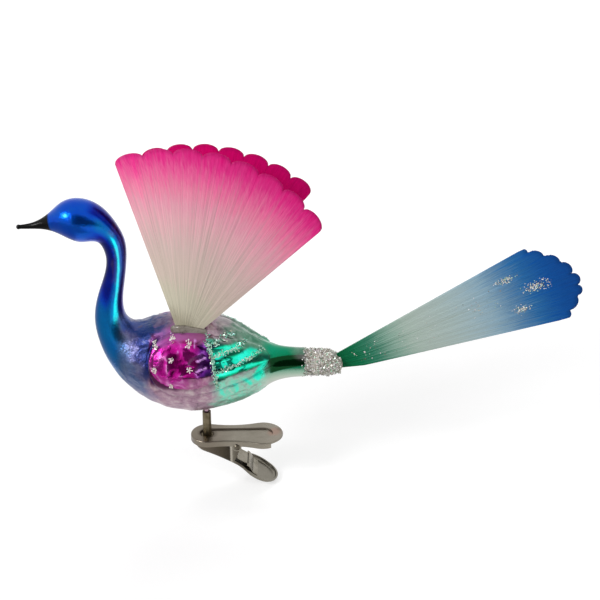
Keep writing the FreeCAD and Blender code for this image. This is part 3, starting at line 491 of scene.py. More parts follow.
# Spots: centre, inner and outer radius, tone and strength. The first is painted shadow round the stem's foot.
STEM_SHADOW = ((3.2, 0, 0), 1.9, 3.4, "3A2E24", 0.8)
# On the plate: painted shadow round the stem's foot, a painted pink reflection of the wing near the far end,
# and a dark brown spot at the end.
PLATE_SPOTS_WITH_PAINTED_LIGHT = (STEM_SHADOW, ((24.6, 0.8, 0), 1.4, 2.8, "A08274", 0.7),
               ((26.6, 2.2, 0), 0.4, 1.8, "5A4630", 0.6))
# Painted reflection along the plate: darker near the stem, lighter towards the far end.
PLATE_PAINTED_REFLECTION_TONES = ((-2, "7A7266"), (5, "7E7569"), (12, "8E887C"), (19, "8A8478"), (27.5, "968F84"))
# The gutter's flanks are painted dark, as painted shade, up to a painted highlight on the lip at their end.
LEVER_TONES_WITH_PAINTED_LIGHT = ((-1.5, "6E655A"), (2, "5E554A"), (5, "4C443A"), (8, "3A3228"), (10.4, "1E1610"),
               (10.8, "BDB7AA"), (11.5, "6E695E"), (13, "524B41"), (15, "635D53"), (18, "7F7A6F"),
               (26, "88847A"))
NICKEL = plated_steel("clip_steel", "948D7E", "766E5F", 0.3, PLATE_SPOTS_WITH_PAINTED_LIGHT, PLATE_PAINTED_REFLECTION_TONES, channel=3.2)
LEVER = plated_steel("lever_steel_painted_light", "8E887B", "706959", 0.27, tones=LEVER_TONES_WITH_PAINTED_LIGHT)
SPRING = plated_steel("spring_steel", "918B7E", "6E6757", 0.24)
# The stem's foot is painted darker: painted shade where it stands in the plate.
STEM = plated_steel("stem_metal", "7F7560", "5A503C", 0.36, [((3.2, 0, 0.4), 0.8, 2.2, "2E2418", 0.7)])
CEMENT = cloudy_cement()
SILVER_FLAKE = glitter_material("silver_glitter", 0.55, "0 5A5448, 15 A8A294, 30 E4E0D6, 50 FFFEF8, "
                                "65 B8ECCC, 80 E4D4DC, 100 FFFFFF")
AQUA_FLAKE = glitter_material("aqua_glitter", 0.4, "0 0E5A48, 20 58D0B0, 40 C8FFE8, 58 E8E4C8, 75 90F0DC, "
                              "100 FFFFFF")
PEARL_FLAKE = glitter_material("pearl_glitter", 0.1, "0 D8CCC4, 50 F6ECE4, 100 FFFFFF")
BED = glue_base()


# -------- the blown glass
# Stations of the glass from the beak's tip to the tail tube's end: x, z and radius in millimetres, and the
# heading of the axis in degrees from +Z towards +X.
STATIONS = np.array([
    (-51.2, 73, 0.6, 88), (-47.2, 73.4, 0.95, 84), (-43.5, 74.2, 1.9, 80), (-40.6, 74.9, 3.4, 80),
    (-37.6, 75.5, 5.3, 84), (-33.4, 75.4, 6.5, 95), (-29.2, 74.2, 5.9, 112), (-25.2, 71.4, 4.1, 135),
    (-23.1, 67.4, 3.5, 160), (-22.6, 62.2, 3.05, 178), (-23.4, 56.5, 3.15, 189), (-24.7, 51, 3.65, 191),
    (-25.4, 46.9, 4.15, 184), (-25.2, 41.8, 5, 172), (-23.1, 37, 6.6, 152), (-18, 31.9, 10.4, 120),
    (-8.3, 28, 14.55, 98), (-0.9, 27.4, 15.6, 92), (6.6, 26.8, 14.4, 93), (14, 26.3, 11.7, 92),
    (19, 26, 9.2, 91), (24, 26.25, 6.25, 90), (29, 26.5, 4.9, 90), (34, 26.6, 4.55, 90)])
# The station from which the rings lie closer together.
BREAST = 12
WING_OUTLINE = [(-13.3, 33.5), (-11, 38.3), (-5, 40.6), (4, 40.2), (12, 38), (18.5, 35),
                (23.4, 30.6), (16.6, 26.9), (5, 24.3), (-5.4, 23.4), (-11.2, 26.4)]
SHOULDER_OUTLINE = [(-12.4, 33.8), (-10.3, 37.6), (-4, 39.6), (3, 38.4), (6, 34.5), (6.2, 30.2),
                    (3, 27.3), (-5, 27), (-10.6, 29.2)]
# Feathers of the moulded wing, in the side view: root, tip, half width and relief.
FEATHERS = [((1, 38.4), (12.8, 37.4), 1.9, 1.15), ((1, 35.4), (16.8, 35), 2.2, 1),
            ((1, 31.9), (21.2, 32.5), 2.3, 0.85), ((0, 28.2), (22.8, 30.2), 2.2, 0.7)]
WING_RELIEF, SHOULDER_RELIEF = 0.45, 1
# The slots for the wings' roots: middle, half length, half width and the height of their floor.
POCKET_X, POCKET_Y, POCKET_LENGTH, POCKET_WIDTH, POCKET_Z = -0.9, 6, 5.2, 1.2, 40.7
BLOB_RADIUS = 0.75
GLASS_WALL = 0.9
AROUND = 272


def glass_grid():
    """Rings of points on the smooth glass, from the beak's tip to a little way inside the tail tube."""
    knots = length_along(STATIONS[:, :2])
    at = np.concatenate([np.linspace(0, 5, 12, endpoint=False), np.arange(5, knots[BREAST], 0.55),
                         np.arange(knots[BREAST], knots[-1], 0.36), [knots[-1]]])
    x, z, radius, heading = spline(knots, STATIONS, at).T
    radius = np.maximum(radius, np.sqrt(np.clip(BLOB_RADIUS ** 2 - at ** 2, 0, None)))
    ahead = unit(np.radians(heading))[:, ::-1]
    up = upright(left(ahead), 0)
    turn = unit(circle(AROUND))
    spoke = turn[:, :1] * up[:, None] + turn[:, 1:] * np.array([0, 1, 0])
    centre = upright(np.stack([x, z], axis=1), 0)
    grid = centre[:, None] + spoke * radius[:, None, None]
    cap = [centre[0] + BLOB_RADIUS * (spoke[0] * math.sin(a) - upright(ahead[0], 0) * math.cos(a))
           for a in np.radians(np.linspace(3, 80, 8))]
    ends = [centre[-1] + (grid[-1] - centre[-1]) * (1 - GLASS_WALL * share / radius[-1]) + [out, 0, 0]
            for share, out in ((0.15, 0.12), (0.5, 0.2), (0.85, 0.12), (1, 0), (1, -1.5), (1, -5))]
    return np.concatenate([cap, grid, ends])


def grid_normals(grid):
    """Outward normals of a grid of rings."""
    along = np.gradient(grid, axis=0)
    around = np.roll(grid, -1, axis=1) - np.roll(grid, 1, axis=1)
    normal = np.cross(along, around)
    return normal / np.maximum(np.linalg.norm(normal, axis=2, keepdims=True), 1e-9)


def feather_height(flat, start, tip, half, relief):
    """A rounded leaf, highest along its middle, and how near a point is to that crest."""
    run = np.array(tip) - start
    length = np.linalg.norm(run)
    along = (flat - start) @ run / length ** 2
    across = (flat - start) @ left(run) / length
    width = np.maximum(half * (1 - np.clip(2 * along - 1, -1, 1) ** 2), 1e-6)
    dome = np.sqrt(np.clip(1 - (across / width) ** 2, 0, 1))
    return relief * edge(0, 0.75, dome), dome * edge(-0.3, 0.7, across / width)


def glass_relief(points, normal):
    """How far each point stands out along its normal, with the masks that the lacquer needs."""
    x, _, z = points.T
    flat = points[:, [0, 2]]
    wing = side_distance(flat, closed_curve(WING_OUTLINE))
    shoulder = side_distance(flat, closed_curve(SHOULDER_OUTLINE))
    height = np.maximum(WING_RELIEF * edge(0.35, -0.35, wing), SHOULDER_RELIEF * edge(0.5, -1.2, shoulder))
    # How near each point is to a crest; the lacquer's tones follow it as painted highlight and shade.
    crest = np.zeros(len(points))
    for feather in FEATHERS:
        rise, near = feather_height(flat, *feather)
        height = np.maximum(height, rise * edge(0.4, 0.7, np.abs(normal[:, 1])))
        crest = np.maximum(crest, near)
    groove = bell(wing, 0.25, 0.42)
    height -= 0.34 * groove
    body = edge(-24, -17, x - 0.4 * (z - 32)) * edge(27, 20, x)
    rumple = creases(points, 3.6, 3) - 0.5
    ripple = creases(points * np.array([0.6, 1, 1]), 1.5, 17) - 0.5
    in_shoulder = edge(0.6, -1, shoulder)
    height += body * mix(0.42 * rumple + 0.16 * ripple, 0.5 * rumple + 0.14 * ripple, in_shoulder)
    crest = np.where(in_shoulder > 0.02, np.clip(0.48 + 0.75 * rumple + 0.3 * ripple, 0, 1), crest)
    return height, wing, groove * body, crest


def sink_pockets(points):
    """Sinks the two slots for the wings' roots into the points and raises their lips."""
    x, y, z = points.T
    reach = POCKET_LENGTH - POCKET_WIDTH
    beyond = np.clip(x - POCKET_X, -reach, reach) - (x - POCKET_X)
    gap = np.hypot(beyond, np.abs(y) - POCKET_Y) - POCKET_WIDTH
    lipped = z + 0.22 * bell(gap, 0.45, 0.3)
    sunk = mix(lipped, np.minimum(lipped, POCKET_Z), edge(0.15, -0.25, gap))
    points[:, 2] = np.where(z > 36, sunk, z)


def blown_bird():
    """The whole glass body, moulded, crinkled and painted."""
    grid = glass_grid()
    normal = grid_normals(grid).reshape(-1, 3)
    points = grid.reshape(-1, 3)
    height, wing, groove, crest = glass_relief(points, normal)
    points = points + normal * height[:, None]
    sink_pockets(points)
    verts = np.vstack([points, np.mean(points[:AROUND], axis=0) - [0.02, 0, 0]])
    faces = tube_faces(len(grid), AROUND, -1) + [face[::-1] for face in fan_faces(0, AROUND, len(points))]
    piece = make_object("glass_bird", verts, faces, GLASS)
    dorsal = np.tile(np.cos(circle(AROUND)), len(grid))
    at_tip = ((wing, 9), (groove, 0), (crest, 0), (normal[:, 1], 0), (dorsal, 0))
    paint_glass(piece, verts, *(np.append(values, end) for values, end in at_tip))
    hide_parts("glass_body")
    return points, grid_normals(points.reshape(grid.shape)).reshape(-1, 3)


# The painted highlight streak down each side of the neck: height, and how far it lies towards the neck's
# back.
HIGHLIGHT_STREAK_Z = (42, 46, 50, 53.4, 58, 62.5, 66, 73)
HIGHLIGHT_STREAK_TURN = (0.42, 0.53, 0.50, 0.47, 0.33, 0.28, 0.27, 0.40)
# The magenta and purple patch on the shoulder, in the side view: its left and lower edge, its rounded upper
# corner, and the height from which it covers fully.
PATCH_LEFT, PATCH_LOW, PATCH_FULL = -13.2, 25, 29.9
CORNER_X, CORNER_Z, CORNER_RADIUS = -9, 37.5, 4.1
# Painted highlights as strokes in the side view: from, to, half width and strength. The gleams are
# turquoise, on the flight feathers and the belly, and the glints are pink, on the patch.
PAINTED_GLEAMS = [((7.2, 35.6), (16.2, 37.2), 0.9, 1), ((9.4, 32.7), (21, 34.8), 1.4, 1),
          ((8.6, 30.2), (18, 31.2), 0.35, 0.9), ((21.2, 30.2), (19.4, 26.6), 1.9, 1),
          ((8.8, 24.4), (9.4, 22.4), 0.9, 0.6), ((12.8, 25.4), (13.4, 23.2), 1, 0.65),
          ((15.8, 26.6), (17.6, 24.6), 1.3, 0.9)]
PAINTED_GLINTS = [((1.8, 35), (4, 35.8), 0.5, 0.9), ((1.5, 32.2), (4.2, 33), 0.45, 0.9),
          ((0.8, 38.6), (1, 39.8), 0.4, 0.6), ((-4.3, 37.2), (-4, 37.6), 0.35, 0.5)]


def paint_glass(piece, verts, wing, groove, crest, facing, dorsal):
    """Stores where each lacquer lies, and where highlights, shade and reflection are painted into it.

    Facing is the sideways part of the smooth glass's normal, and dorsal is 1 along the bird's back.
    """
    x, y, z = verts.T
    wander = lumps(verts, (3.2, 2.6, 40), (1.6, 1.1, 41))
    flank = edge(3, 5.5, np.abs(y))

    def by_x(low, high, share=0):
        """An edge along x that wanders by a share, as by_z does along z."""
        return edge(low, high, x + share * wander)

    def by_z(low, high, share=0):
        return edge(low, high, z + share * wander)

    paint = {"crest": crest}

    # The neck and the breast.
    leaning = x + 0.42 * (np.minimum(z, 41) - 31)
    nape = 0.9 * by_z(39.5, 43, 1) * by_x(-12, -17, 1)
    blue = np.maximum(edge(-14, -19.5, leaning + wander) * by_z(13, 24, 1.2), nape)
    blue *= 1 - 0.25 * by_x(-24, -20) * by_z(50, 42)
    streaks = edge(0.5, 0.66, creases(verts, 2.4, 44)) * by_x(-7, -10.5) * by_z(38, 41)
    paint["blue"] = np.maximum(blue, 0.85 * streaks)
    # Painted shade: the breast's blue darkened towards a grey-blue, to dim the key lamp's highlight there.
    paint["dim"] = 0.6 * by_z(47, 43) * by_x(-25, -21.5)
    off_highlight_streak = dorsal - np.interp(z, HIGHLIGHT_STREAK_Z, HIGHLIGHT_STREAK_TURN)
    behind_front = by_x(-29, -26)
    level = mix(0.62, 0.44, by_z(40, 56)) + lumps(verts, (0.1, 4, 46))
    level -= 0.34 * by_z(46, 52) * behind_front * edge(0.12, -0.25, dorsal)
    level -= 0.3 * by_z(38, 50) * edge(0.62, 0.85, dorsal) * by_x(-31, -27)
    level -= 0.5 * streaks * (1 - blue)
    # Painted highlight: a lighter band round the streak, and the bright cyan streak itself, raised in the
    # blue's depth.
    level += 0.16 * bell(off_highlight_streak, 0, 0.35) * by_z(38, 46) * behind_front
    level += 0.5 * bell(off_highlight_streak, 0, 0.15) * by_z(40, 46) * by_z(74, 69) * (x > -30)
    paint["blue_depth_and_highlight"] = level
    on_back = 0.75 * by_x(-4, -9, 1) * by_z(34, 38)
    front = edge(-10.5, -13.5, x - 0.12 * (z - 30) + wander) * by_z(20, 30, 1)
    paint["lilac"] = np.maximum(front, on_back) * (1 - blue)
    beak_start = -41.7 - 0.2 * (z - 74.2)
    paint["beak"] = by_x(beak_start + 0.15, beak_start - 0.15) * (z > 68)

    # The patch on the shoulder, with painted reflection along its top: a matt lilac haze.
    right_edge = np.minimum(4.3 + 0.24 * (40.4 - z), 6.8)
    top_edge = mix(39.9, 41.2, by_x(CORNER_X, -5))
    rounded = np.hypot(np.clip(CORNER_X - x, 0, None), np.clip(z - CORNER_Z, 0, None)) - CORNER_RADIUS
    box = np.maximum.reduce([PATCH_LEFT - x, x - right_edge, z - top_edge, PATCH_LOW - z, rounded])
    painted = edge(0.25, -0.35, box + 0.12 * wander) * flank
    full = by_z(PATCH_FULL, PATCH_FULL + 0.6, 0.12)
    below = by_z(PATCH_LOW, 27.4, 0.5) * mix(0.94, 0.35, by_x(-3.5, 1.5, 1))
    paint["magenta"] = painted * mix(below, 1, full)
    # Painted shade: the magenta darker on the patch's left part, to dim the key lamp's highlight there, and a
    # little darker below the full coat.
    paint["deep"] = np.maximum(0.75 * by_x(-8, -10.5) * by_z(31, 33), 0.2 * (1 - full))
    paint["purple"] = by_x(0.4, 3.4, 0.9) * painted * full
    # Painted reflection: the haze stands in for the light that the glossy lacquer mirrors along the patch's
    # top.
    paint["painted_haze_tone"] = (x + 0.5 * wander + 11) / 13
    painted_haze_low = mix(37.6, 38.9, by_x(CORNER_X, -5.5))
    haze = by_z(painted_haze_low, painted_haze_low + 1.3, 0.3) * by_z(42.4, 41, 0.7)
    haze *= by_x(-12.6, -9.6, 0.9) * by_x(5, 4) * flank
    paint["haze"] = haze * mix(0.72, 1, by_x(-8, -4)) * (1 - 0.85 * streaks)

    # The flight feathers, the back, the belly and the tail tube.
    feathered = edge(-0.1, 0.7, x - right_edge) * edge(27, 23.5, x - 0.3 * (32 - z))
    teal = feathered * edge(27.6, 28.4, z - 0.16 * (x - 6) + 0.3 * wander) * edge(1.2, 0.2, wing)
    paint["teal"] = teal * edge(0.5, 0.62, np.abs(facing))
    # Painted shade: navy over the teal between the feathers' crests, most towards the shoulder.
    paint["shade"] = 0.85 * by_x(11.5, 6.5, 1.2) * edge(0.75, 0.3, crest)
    faded = edge(28.8, 33, x + 1.2 * (z - 31)) * by_z(28.5, 29.5)
    paint["tube"] = by_x(18.5, 24, 0.4) * (1 - 0.55 * faded)
    low_edge = mix(26.3, 27.7, np.clip((x - 24) / 9, 0, 1))
    band = by_x(23.3, 23.9) * by_z(low_edge - 0.2, low_edge + 0.3) * by_z(30.7, 30.2)
    paint["tube_level"] = mix((z - 21.5) / 10.5, 0.75, band)
    paint["back"] = by_x(4, 14, 1.3) * by_z(27, 34)
    paint["back_green"] = by_x(9, 18, 1.3)
    paint["belly"] = by_x(4, 9, 1) * by_z(30.5, 27.5) * by_z(12, 17) * flank

    # Painted highlight strokes, a painted shade line in the groove round the wing, and the matt glass between
    # the glossy coats.
    flat = verts[:, [0, 2]]
    for name, strokes in (("gleam", PAINTED_GLEAMS), ("painted_glint", PAINTED_GLINTS)):
        shine = [strength * edge(width, 0.3 * width, run_distance(flat, start, end) + 0.32 * width * wander)
                 for start, end, width, strength in strokes]
        paint[name] = np.max(shine, axis=0) * edge(0.42, 0.56, np.abs(facing))
    # Painted shade: a dark navy line in the groove round the wing, fainter on its right.
    line = 0.85 * by_x(6, -10) * mix(0.3, 1, by_x(-8.5, -12)) * mix(0.5, 1, by_z(29, 32))
    line += 0.35 * by_x(3, 7) * by_x(22, 19) * (z < 33)
    paint["groove"] = groove * line
    glossy = np.clip(painted * full + teal + by_x(18.5, 23.5), 0, 1)
    matt = (1 - glossy) * mix(0.3, 1, edge(-27, -17, x - 0.4 * (z - 32)))
    paint["frost"] = np.maximum(matt, 0.6 * by_x(-7.5, -9.5) * painted * full)
    store(piece, **{name: np.clip(values, 0, 1) for name, values in paint.items()})


# The pike under the belly, from its end inside the stem up into the glass: height and radius.
PIKE_X = 3.2
PIKE = [(3.4, 0.3), (3.45, 0.6), (3.7, 0.75), (6, 0.75), (9, 0.75), (10, 0.8), (10.7, 0.98), (11.3, 1.3),
        (11.8, 1.75), (12.3, 2.15), (12.9, 2.4)]


def glass_pike():
    """The drawn point that the bird stands on, with its flared root."""
    rows, columns = 60, 48
    steps = np.arange(len(PIKE), dtype=float)
    level, radius = spline(steps, np.array(PIKE), np.linspace(0, steps[-1], rows)).T
    points = np.empty((rows, columns, 3))
    points[..., :2] = unit(circle(columns)) * radius[:, None, None] + [PIKE_X, 0]
    points[..., 2] = level[:, None]
    points = points.reshape(-1, 3)
    points[:, :2] += lumps(points, (0.05, 0.9, 70))[:, None]
    faces = tube_faces(rows, columns) + [ring_face(0, columns, -1)]
    piece = make_object("glass_pike", points, faces, GLASS)
    store(piece, frost=np.full(len(points), 0.5))


# -------- spun-glass fans
def polar(hub, degrees, length):
    """A point at an angle and a distance from a fan's hub."""
    return hub + length * unit(math.radians(degrees))


def arc_notches(hub, angles, lengths, bulge, lobes):
    """Notches evenly spaced on an arc between a fan's two edges, each given by its angle and length."""
    ends = [polar(hub, degrees, length) for degrees, length in zip(angles, lengths)]
    chord = ends[1] - ends[0]
    span = np.linalg.norm(chord)
    radius = (span ** 2 / 4 + bulge ** 2) / (2 * bulge)
    centre = (ends[0] + ends[1]) / 2 + left(chord) / span * (bulge - radius)
    start, end = (math.atan2(*(point - centre)[::-1]) for point in ends)
    return centre + radius * unit(np.linspace(start, start - (start - end) % (2 * math.pi), lobes + 1))


def boundary(hub, notches, depth, angles):
    """Distance from the hub to an edge of lobes between the notches, at each angle."""
    beyond = (notches[0] - notches[-1]) * 0.01
    outline = [notches[0] + beyond]
    for first, last in zip(notches, notches[1:]):
        chord = last - first
        span = np.linalg.norm(chord)
        rise = min(depth, 0.45 * span) * left(chord) / span
        outline += [first + chord * part + rise * max(0, 1 - (2 * part - 1) ** 2) ** 0.55
                    for part in np.linspace(0, 1, 24, endpoint=False)]
    outline = np.array(outline + [notches[-1], notches[-1] - beyond]) - hub
    bearing = np.arctan2(outline[:, 1], outline[:, 0])
    order = np.argsort(bearing)
    return np.interp(angles, bearing[order], np.linalg.norm(outline, axis=1)[order])


# Rows from root to tip, those close to the cut edge, fibres in a bundle, and half the fan's thickness.
FAN_ROWS, EDGE_ROWS, BUNDLE, HALF_FAN = 44, 12, 7, 0.3


def spun_fan(name, node, material, y, fan, root, columns, skew, gather=None):
    """A fan of fibres in bundles: ridged on both faces, cut in scallops at its outer edge.

    Root gives the distance from the hub to the root at an angle. Skew shifts the dye at the fan's front edge,
    and from there to its back edge.
    """
    hub, notches, depth = fan
    share = np.linspace(0, 1, columns)
    first, last = (math.atan2(*(notches[k] - hub)[::-1]) for k in (0, -1))
    angles = mix(first, last, share)
    inner, outer = root(angles), boundary(hub, notches, depth, angles)
    part = np.linspace(0, 0.9, FAN_ROWS - EDGE_ROWS, endpoint=False)
    part = np.append(part, np.linspace(0.9, 1, EDGE_ROWS))[:, None]
    radius = mix(inner, outer, part)
    flat = hub + unit(angles) * radius[..., None]
    if gather:
        flat = gather(flat)
    sheets = []
    knots = np.arange(0, columns + BUNDLE, BUNDLE)
    for face in (-1, 1):
        bundle = np.interp(np.arange(columns), knots, rng.random(columns // BUNDLE + 2)[:len(knots)])
        ridge = 0.55 * bundle + 0.45 * rng.random(columns)
        wave = 0.05 * np.sin(share * 23 + part * 3 + face)
        thick = HALF_FAN * (0.62 + 0.38 * ridge) + wave * part * 0.5
        sheets.append(upright(flat, y + face * thick * (1 - 0.75 * edge(0.985, 1, part))))
    around = 2 * columns
    faces = tube_faces(FAN_ROWS, around)
    for base, step in ((0, -1), ((FAN_ROWS - 1) * around, 1)):
        faces += [(base + k, base + k + 1, base + around - 2 - k, base + around - 1 - k)[::step]
                  for k in range(columns - 1)]

    def both(values):
        """Values of both faces, from those of one."""
        values = np.broadcast_to(values, radius.shape)
        return np.append(values, values[:, ::-1], axis=1).reshape(-1)

    verts = np.append(sheets[0], sheets[1][:, ::-1], axis=1).reshape(-1, 3)
    piece = make_object(name, verts, faces, material)
    dye = (radius - inner.min()) / (outer.max() - inner.min()) + skew[0] + skew[1] * share
    store(piece, spread=both(share), reach=both(radius / outer.max()), dye=both(dye),
          rim=both(edge(0.975, 1, part)))
    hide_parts(node)


# The fans, in the side view: hub, notches of the cut edge and depth of its lobes.
WING_HUB, TAIL_HUB = np.array([-3, 35.7]), np.array([27.2, 18.6])
LEFT_WING = (WING_HUB, arc_notches(WING_HUB, (106.4, 42.9), (62.8, 56.9), 11.6, 8), 2.1)
RIGHT_WING = (WING_HUB, arc_notches(WING_HUB, (108.6, 49.6), (57, 59.7), 9.5, 8), 2.1)
TAIL_NOTCHES = ((32.95, 85.6), (31.6, 86.6), (29.3, 90.4), (26.8, 93.9), (23.9, 95.8), (21.3, 96.4),
                (19.2, 94.9), (16.75, 91.6), (14.95, 89.2))
TAIL = (TAIL_HUB, [polar(TAIL_HUB, *notch) for notch in TAIL_NOTCHES], 1.7)
WING_ROOT_Z, TAIL_ROOT_X = 38, 42.6
TAIL_PINCH = (52.9, 24.3)


def gather_tail(flat):
    """Draws the tail's lower fibres together towards the root."""
    x, z = flat[..., 0], flat[..., 1]
    knee_x, root_z = TAIL_PINCH
    slopes = [math.tan(math.radians(TAIL_NOTCHES[k][0])) for k in (0, -1)]
    upper, lower = (TAIL_HUB[1] + (x - TAIL_HUB[0]) * slope for slope in slopes)
    knee_z = TAIL_HUB[1] + (knee_x - TAIL_HUB[0]) * slopes[1]
    limit = mix(root_z, knee_z, (x - TAIL_ROOT_X) / (knee_x - TAIL_ROOT_X))
    drawn = upper - (upper - z) * (upper - limit) / (upper - lower)
    return np.stack([x, np.where(x < knee_x, drawn, z)], axis=-1)


def wings_and_tail():
    """The two raised wings and the tail."""
    for name, y, fan, skew in (("left", -POCKET_Y, LEFT_WING, (-0.14, 0.145)),
                               ("right", POCKET_Y, RIGHT_WING, (-0.02, 0.12))):
        spun_fan(f"spun_wing_{name}", f"wing_{name}", PINK, y, fan,
                 lambda angle: (WING_ROOT_Z - WING_HUB[1]) / np.sin(angle), 420, skew)
    spun_fan("spun_tail", "tail_fan", GREEN, 0, TAIL,
             lambda angle: (TAIL_ROOT_X - TAIL_HUB[0]) / np.cos(angle), 260, (0.05, -0.02), gather_tail)


# -------- glue and glitter
def wing_glue():
    """The mound of glue that stands in each pocket round the wing's root."""
    along, out, height, lean = 5.8, 1.55, 1.9, 0.16
    rows, columns = 14, 72
    foot = POCKET_Z + 0.1
    cosine, sine = unit(circle(columns)).T
    for name, y in (("left", -POCKET_Y), ("right", POCKET_Y)):
        rings = [np.stack([POCKET_X + along * math.cos(a) ** 0.7 * cosine,
                           y + out * math.cos(a) ** 0.6 * sine,
                           np.full(columns, foot + height * math.sin(a))], axis=1)
                 for a in np.linspace(0, math.pi / 2, rows)[:-1]]
        points = np.concatenate([rings[0] - [0, 0, 2], *rings, [[POCKET_X, y, foot + height]]])
        points[:, 2] -= lean * (points[:, 0] - POCKET_X)
        points[:, 2] += lumps(points, (0.7, 1.9, 80), (0.25, 0.7, 81))
        faces = tube_faces(rows, columns) + fan_faces((rows - 1) * columns, columns, rows * columns)
        faces.append(ring_face(0, columns, -1))
        piece = make_object(f"wing_glue_{name}", points, faces, CEMENT)
        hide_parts(f"wing_cement_{name}")


FLAKE_THICKNESS = 0.036


def flakes(name, centres, normals, size, tilt, material=SILVER_FLAKE):
    """Cut foil flakes, six-sided and thin, each tilted its own way."""
    count = len(centres)
    normals = normed(normals + rng.normal(0, tilt, (count, 3)))
    first = normed(np.cross(normals, rng.normal(0, 1, (count, 3))))[:, None]
    normals = normals[:, None]
    turn = unit(circle(6))
    ring = turn[:, :1] * first + turn[:, 1:] * np.cross(normals, first)
    ring *= size * (0.6 + 0.7 * rng.random(count))[:, None, None]
    lift = FLAKE_THICKNESS / 2 * normals
    verts = centres[:, None] + np.concatenate([ring + lift, ring - lift], axis=1)
    faces = []
    for base in range(0, 12 * count, 12):
        faces += [ring_face(base, 6), ring_face(base + 6, 6, -1)]
        faces += [(base + n, base + 6 + n, base + 6 + (n + 1) % 6, base + (n + 1) % 6) for n in range(6)]
    piece = make_object(name, verts.reshape(-1, 3), faces, material, is_smooth=False)
    store(piece, tint=np.repeat(rng.random(count), 12))


def on_flank(points, normals, targets, side):
    """The glass points nearest to places given in the side view."""
    chosen = np.where(points[:, 1] * side > 2.5)[0]
    flat = points[chosen][:, [0, 2]]
    found = [chosen[np.argmin(((flat - target) ** 2).sum(axis=1))] for target in targets]
    return points[found], normals[found]


# Glitter drawn on each flank, in the side view: lines (from, to, spread, flakes), and single dots.
GLITTER_LINES = [((4.3, 40.3), (6, 36), 0.65, 120), ((6, 36), (7.8, 25.6), 0.65, 260),
                 ((5.2, 38.9), (12.6, 38.5), 0.6, 130), ((6, 35.7), (16.4, 36.6), 0.55, 230),
                 ((6.6, 30.9), (21.8, 34), 0.6, 300)]
GLITTER_DOTS = [(-6, 40.1), (-1, 39.3), (-11.2, 37.9), (-6.2, 35.2), (-11.4, 31.7), (-0.6, 32.8),
                (-6.2, 27.4)]


def glitter_on_glass(points, normals):
    """Lines of aqua flakes and five-armed pearl dots. The far flank's lines lie a little lower."""
    for side, label, drop in ((-1, "left", 0), (1, "right", 1.8)):
        lines, dots = [], []
        for start, end, spread, count in GLITTER_LINES:
            middle = mix(np.array(start), np.array(end), rng.random(count)[:, None])
            lines.append(middle + rng.normal(0, spread * 0.5, (count, 2)) - [0, drop])
        for dot in GLITTER_DOTS:
            turn = rng.integers(0, 5, 40) * 2 * np.pi / 5 + rng.normal(0, 0.2, 40)
            dots.append(dot + 0.85 * rng.random((40, 1)) ** 0.7 * unit(turn))
        for name, targets, size, material in (("flank_glitter", lines, 0.19, AQUA_FLAKE),
                                              ("dot_glitter", dots, 0.2, PEARL_FLAKE)):
            found, normal = on_flank(points, normals, np.concatenate(targets), side)
            lift = 0.06 + 0.16 * rng.random((len(found), 1))
            flakes(f"{name}_{label}", found + normal * lift, normal, size, 0.4, material)


COLLAR_START, COLLAR_BEND, COLLAR_END = 33.6, 41.5, 45.2
TUBE_Z, COLLAR_RADIUS, NOSE_RADIUS, NOSE_DROP = 26.6, 4, 2.5, 0.8
COLLAR_FLAKES, RIM_FLAKES = 2300, 160


def around_x(turn):
    """Unit vectors round the x axis, from +Z towards +Y."""
    return np.stack([0 * turn, np.sin(turn), np.cos(turn)], axis=1)


def glitter_collar():
    """A lumpy bed of glue over the plug, packed with flakes, and flakes round the tube's rim."""
    columns = 96
    at = np.append(np.linspace(COLLAR_START, COLLAR_BEND, 34), np.linspace(COLLAR_BEND, COLLAR_END, 18)[1:])
    nose = np.clip((at - COLLAR_BEND) / (COLLAR_END - COLLAR_BEND), 0, 1)
    radius = mix(COLLAR_RADIUS, NOSE_RADIUS, edge(0, 1.1, nose)) - 0.1
    centre = upright(np.stack([at, TUBE_Z - NOSE_DROP * nose], axis=1), 0)
    ring = around_x(circle(columns))
    points = (centre[:, None] + ring * radius[:, None, None]).reshape(-1, 3)
    normals = np.tile(ring, (len(at), 1))
    points += normals * lumps(points, (0.6, 1.5, 60), (0.45, 0.6, 61))[:, None]
    end = centre[-1]
    closing = [end + [0.35 * k, 0, 0] + (points[-columns:] - end) * (1 - 0.33 * k) for k in (1, 2)]
    verts = np.concatenate([points, *closing, [end + [0.8, 0, 0]]])
    rows = len(at) + len(closing)
    faces = tube_faces(rows, columns, -1) + fan_faces((rows - 1) * columns, columns, rows * columns)
    faces.append(ring_face(0, columns))
    bed = make_object("collar_bed", verts, faces, BED)
    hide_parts("glitter_collar", "tail_plug")
    picked = rng.integers(0, len(points), COLLAR_FLAKES)
    out = normals[picked]
    lean = nose.repeat(columns)[picked][:, None] * [0.25, 0, 0]
    lift = 0.02 + 0.3 * rng.random((COLLAR_FLAKES, 1)) ** 2
    centres = points[picked] + out * lift + rng.normal(0, 0.08, (COLLAR_FLAKES, 3))
    flakes("collar_glitter", centres, out + lean, 0.23, 0.7)
    out = around_x(rng.random(RIM_FLAKES) * 2 * np.pi)
    spots = np.array([34, 0, TUBE_Z]) + out * (4.3 + 0.35 * rng.random((RIM_FLAKES, 1)))
    spots[:, 0] += rng.normal(0, 0.35, RIM_FLAKES)
    flakes("tube_rim_glitter", spots, out, 0.19, 0.6)


# Patches of glitter on the tail, in the side view: centre, half length along the fan, half width, flakes.
TAIL_PATCHES = [((94.7, 55.2), 2.9, 1.2, 100), ((104.6, 53.3), 4, 1.8, 190), ((100.6, 45.3), 2.7, 1.3, 90),
                ((88, 46), 8, 3.5, 40)]
ROOT_FLAKES = 46


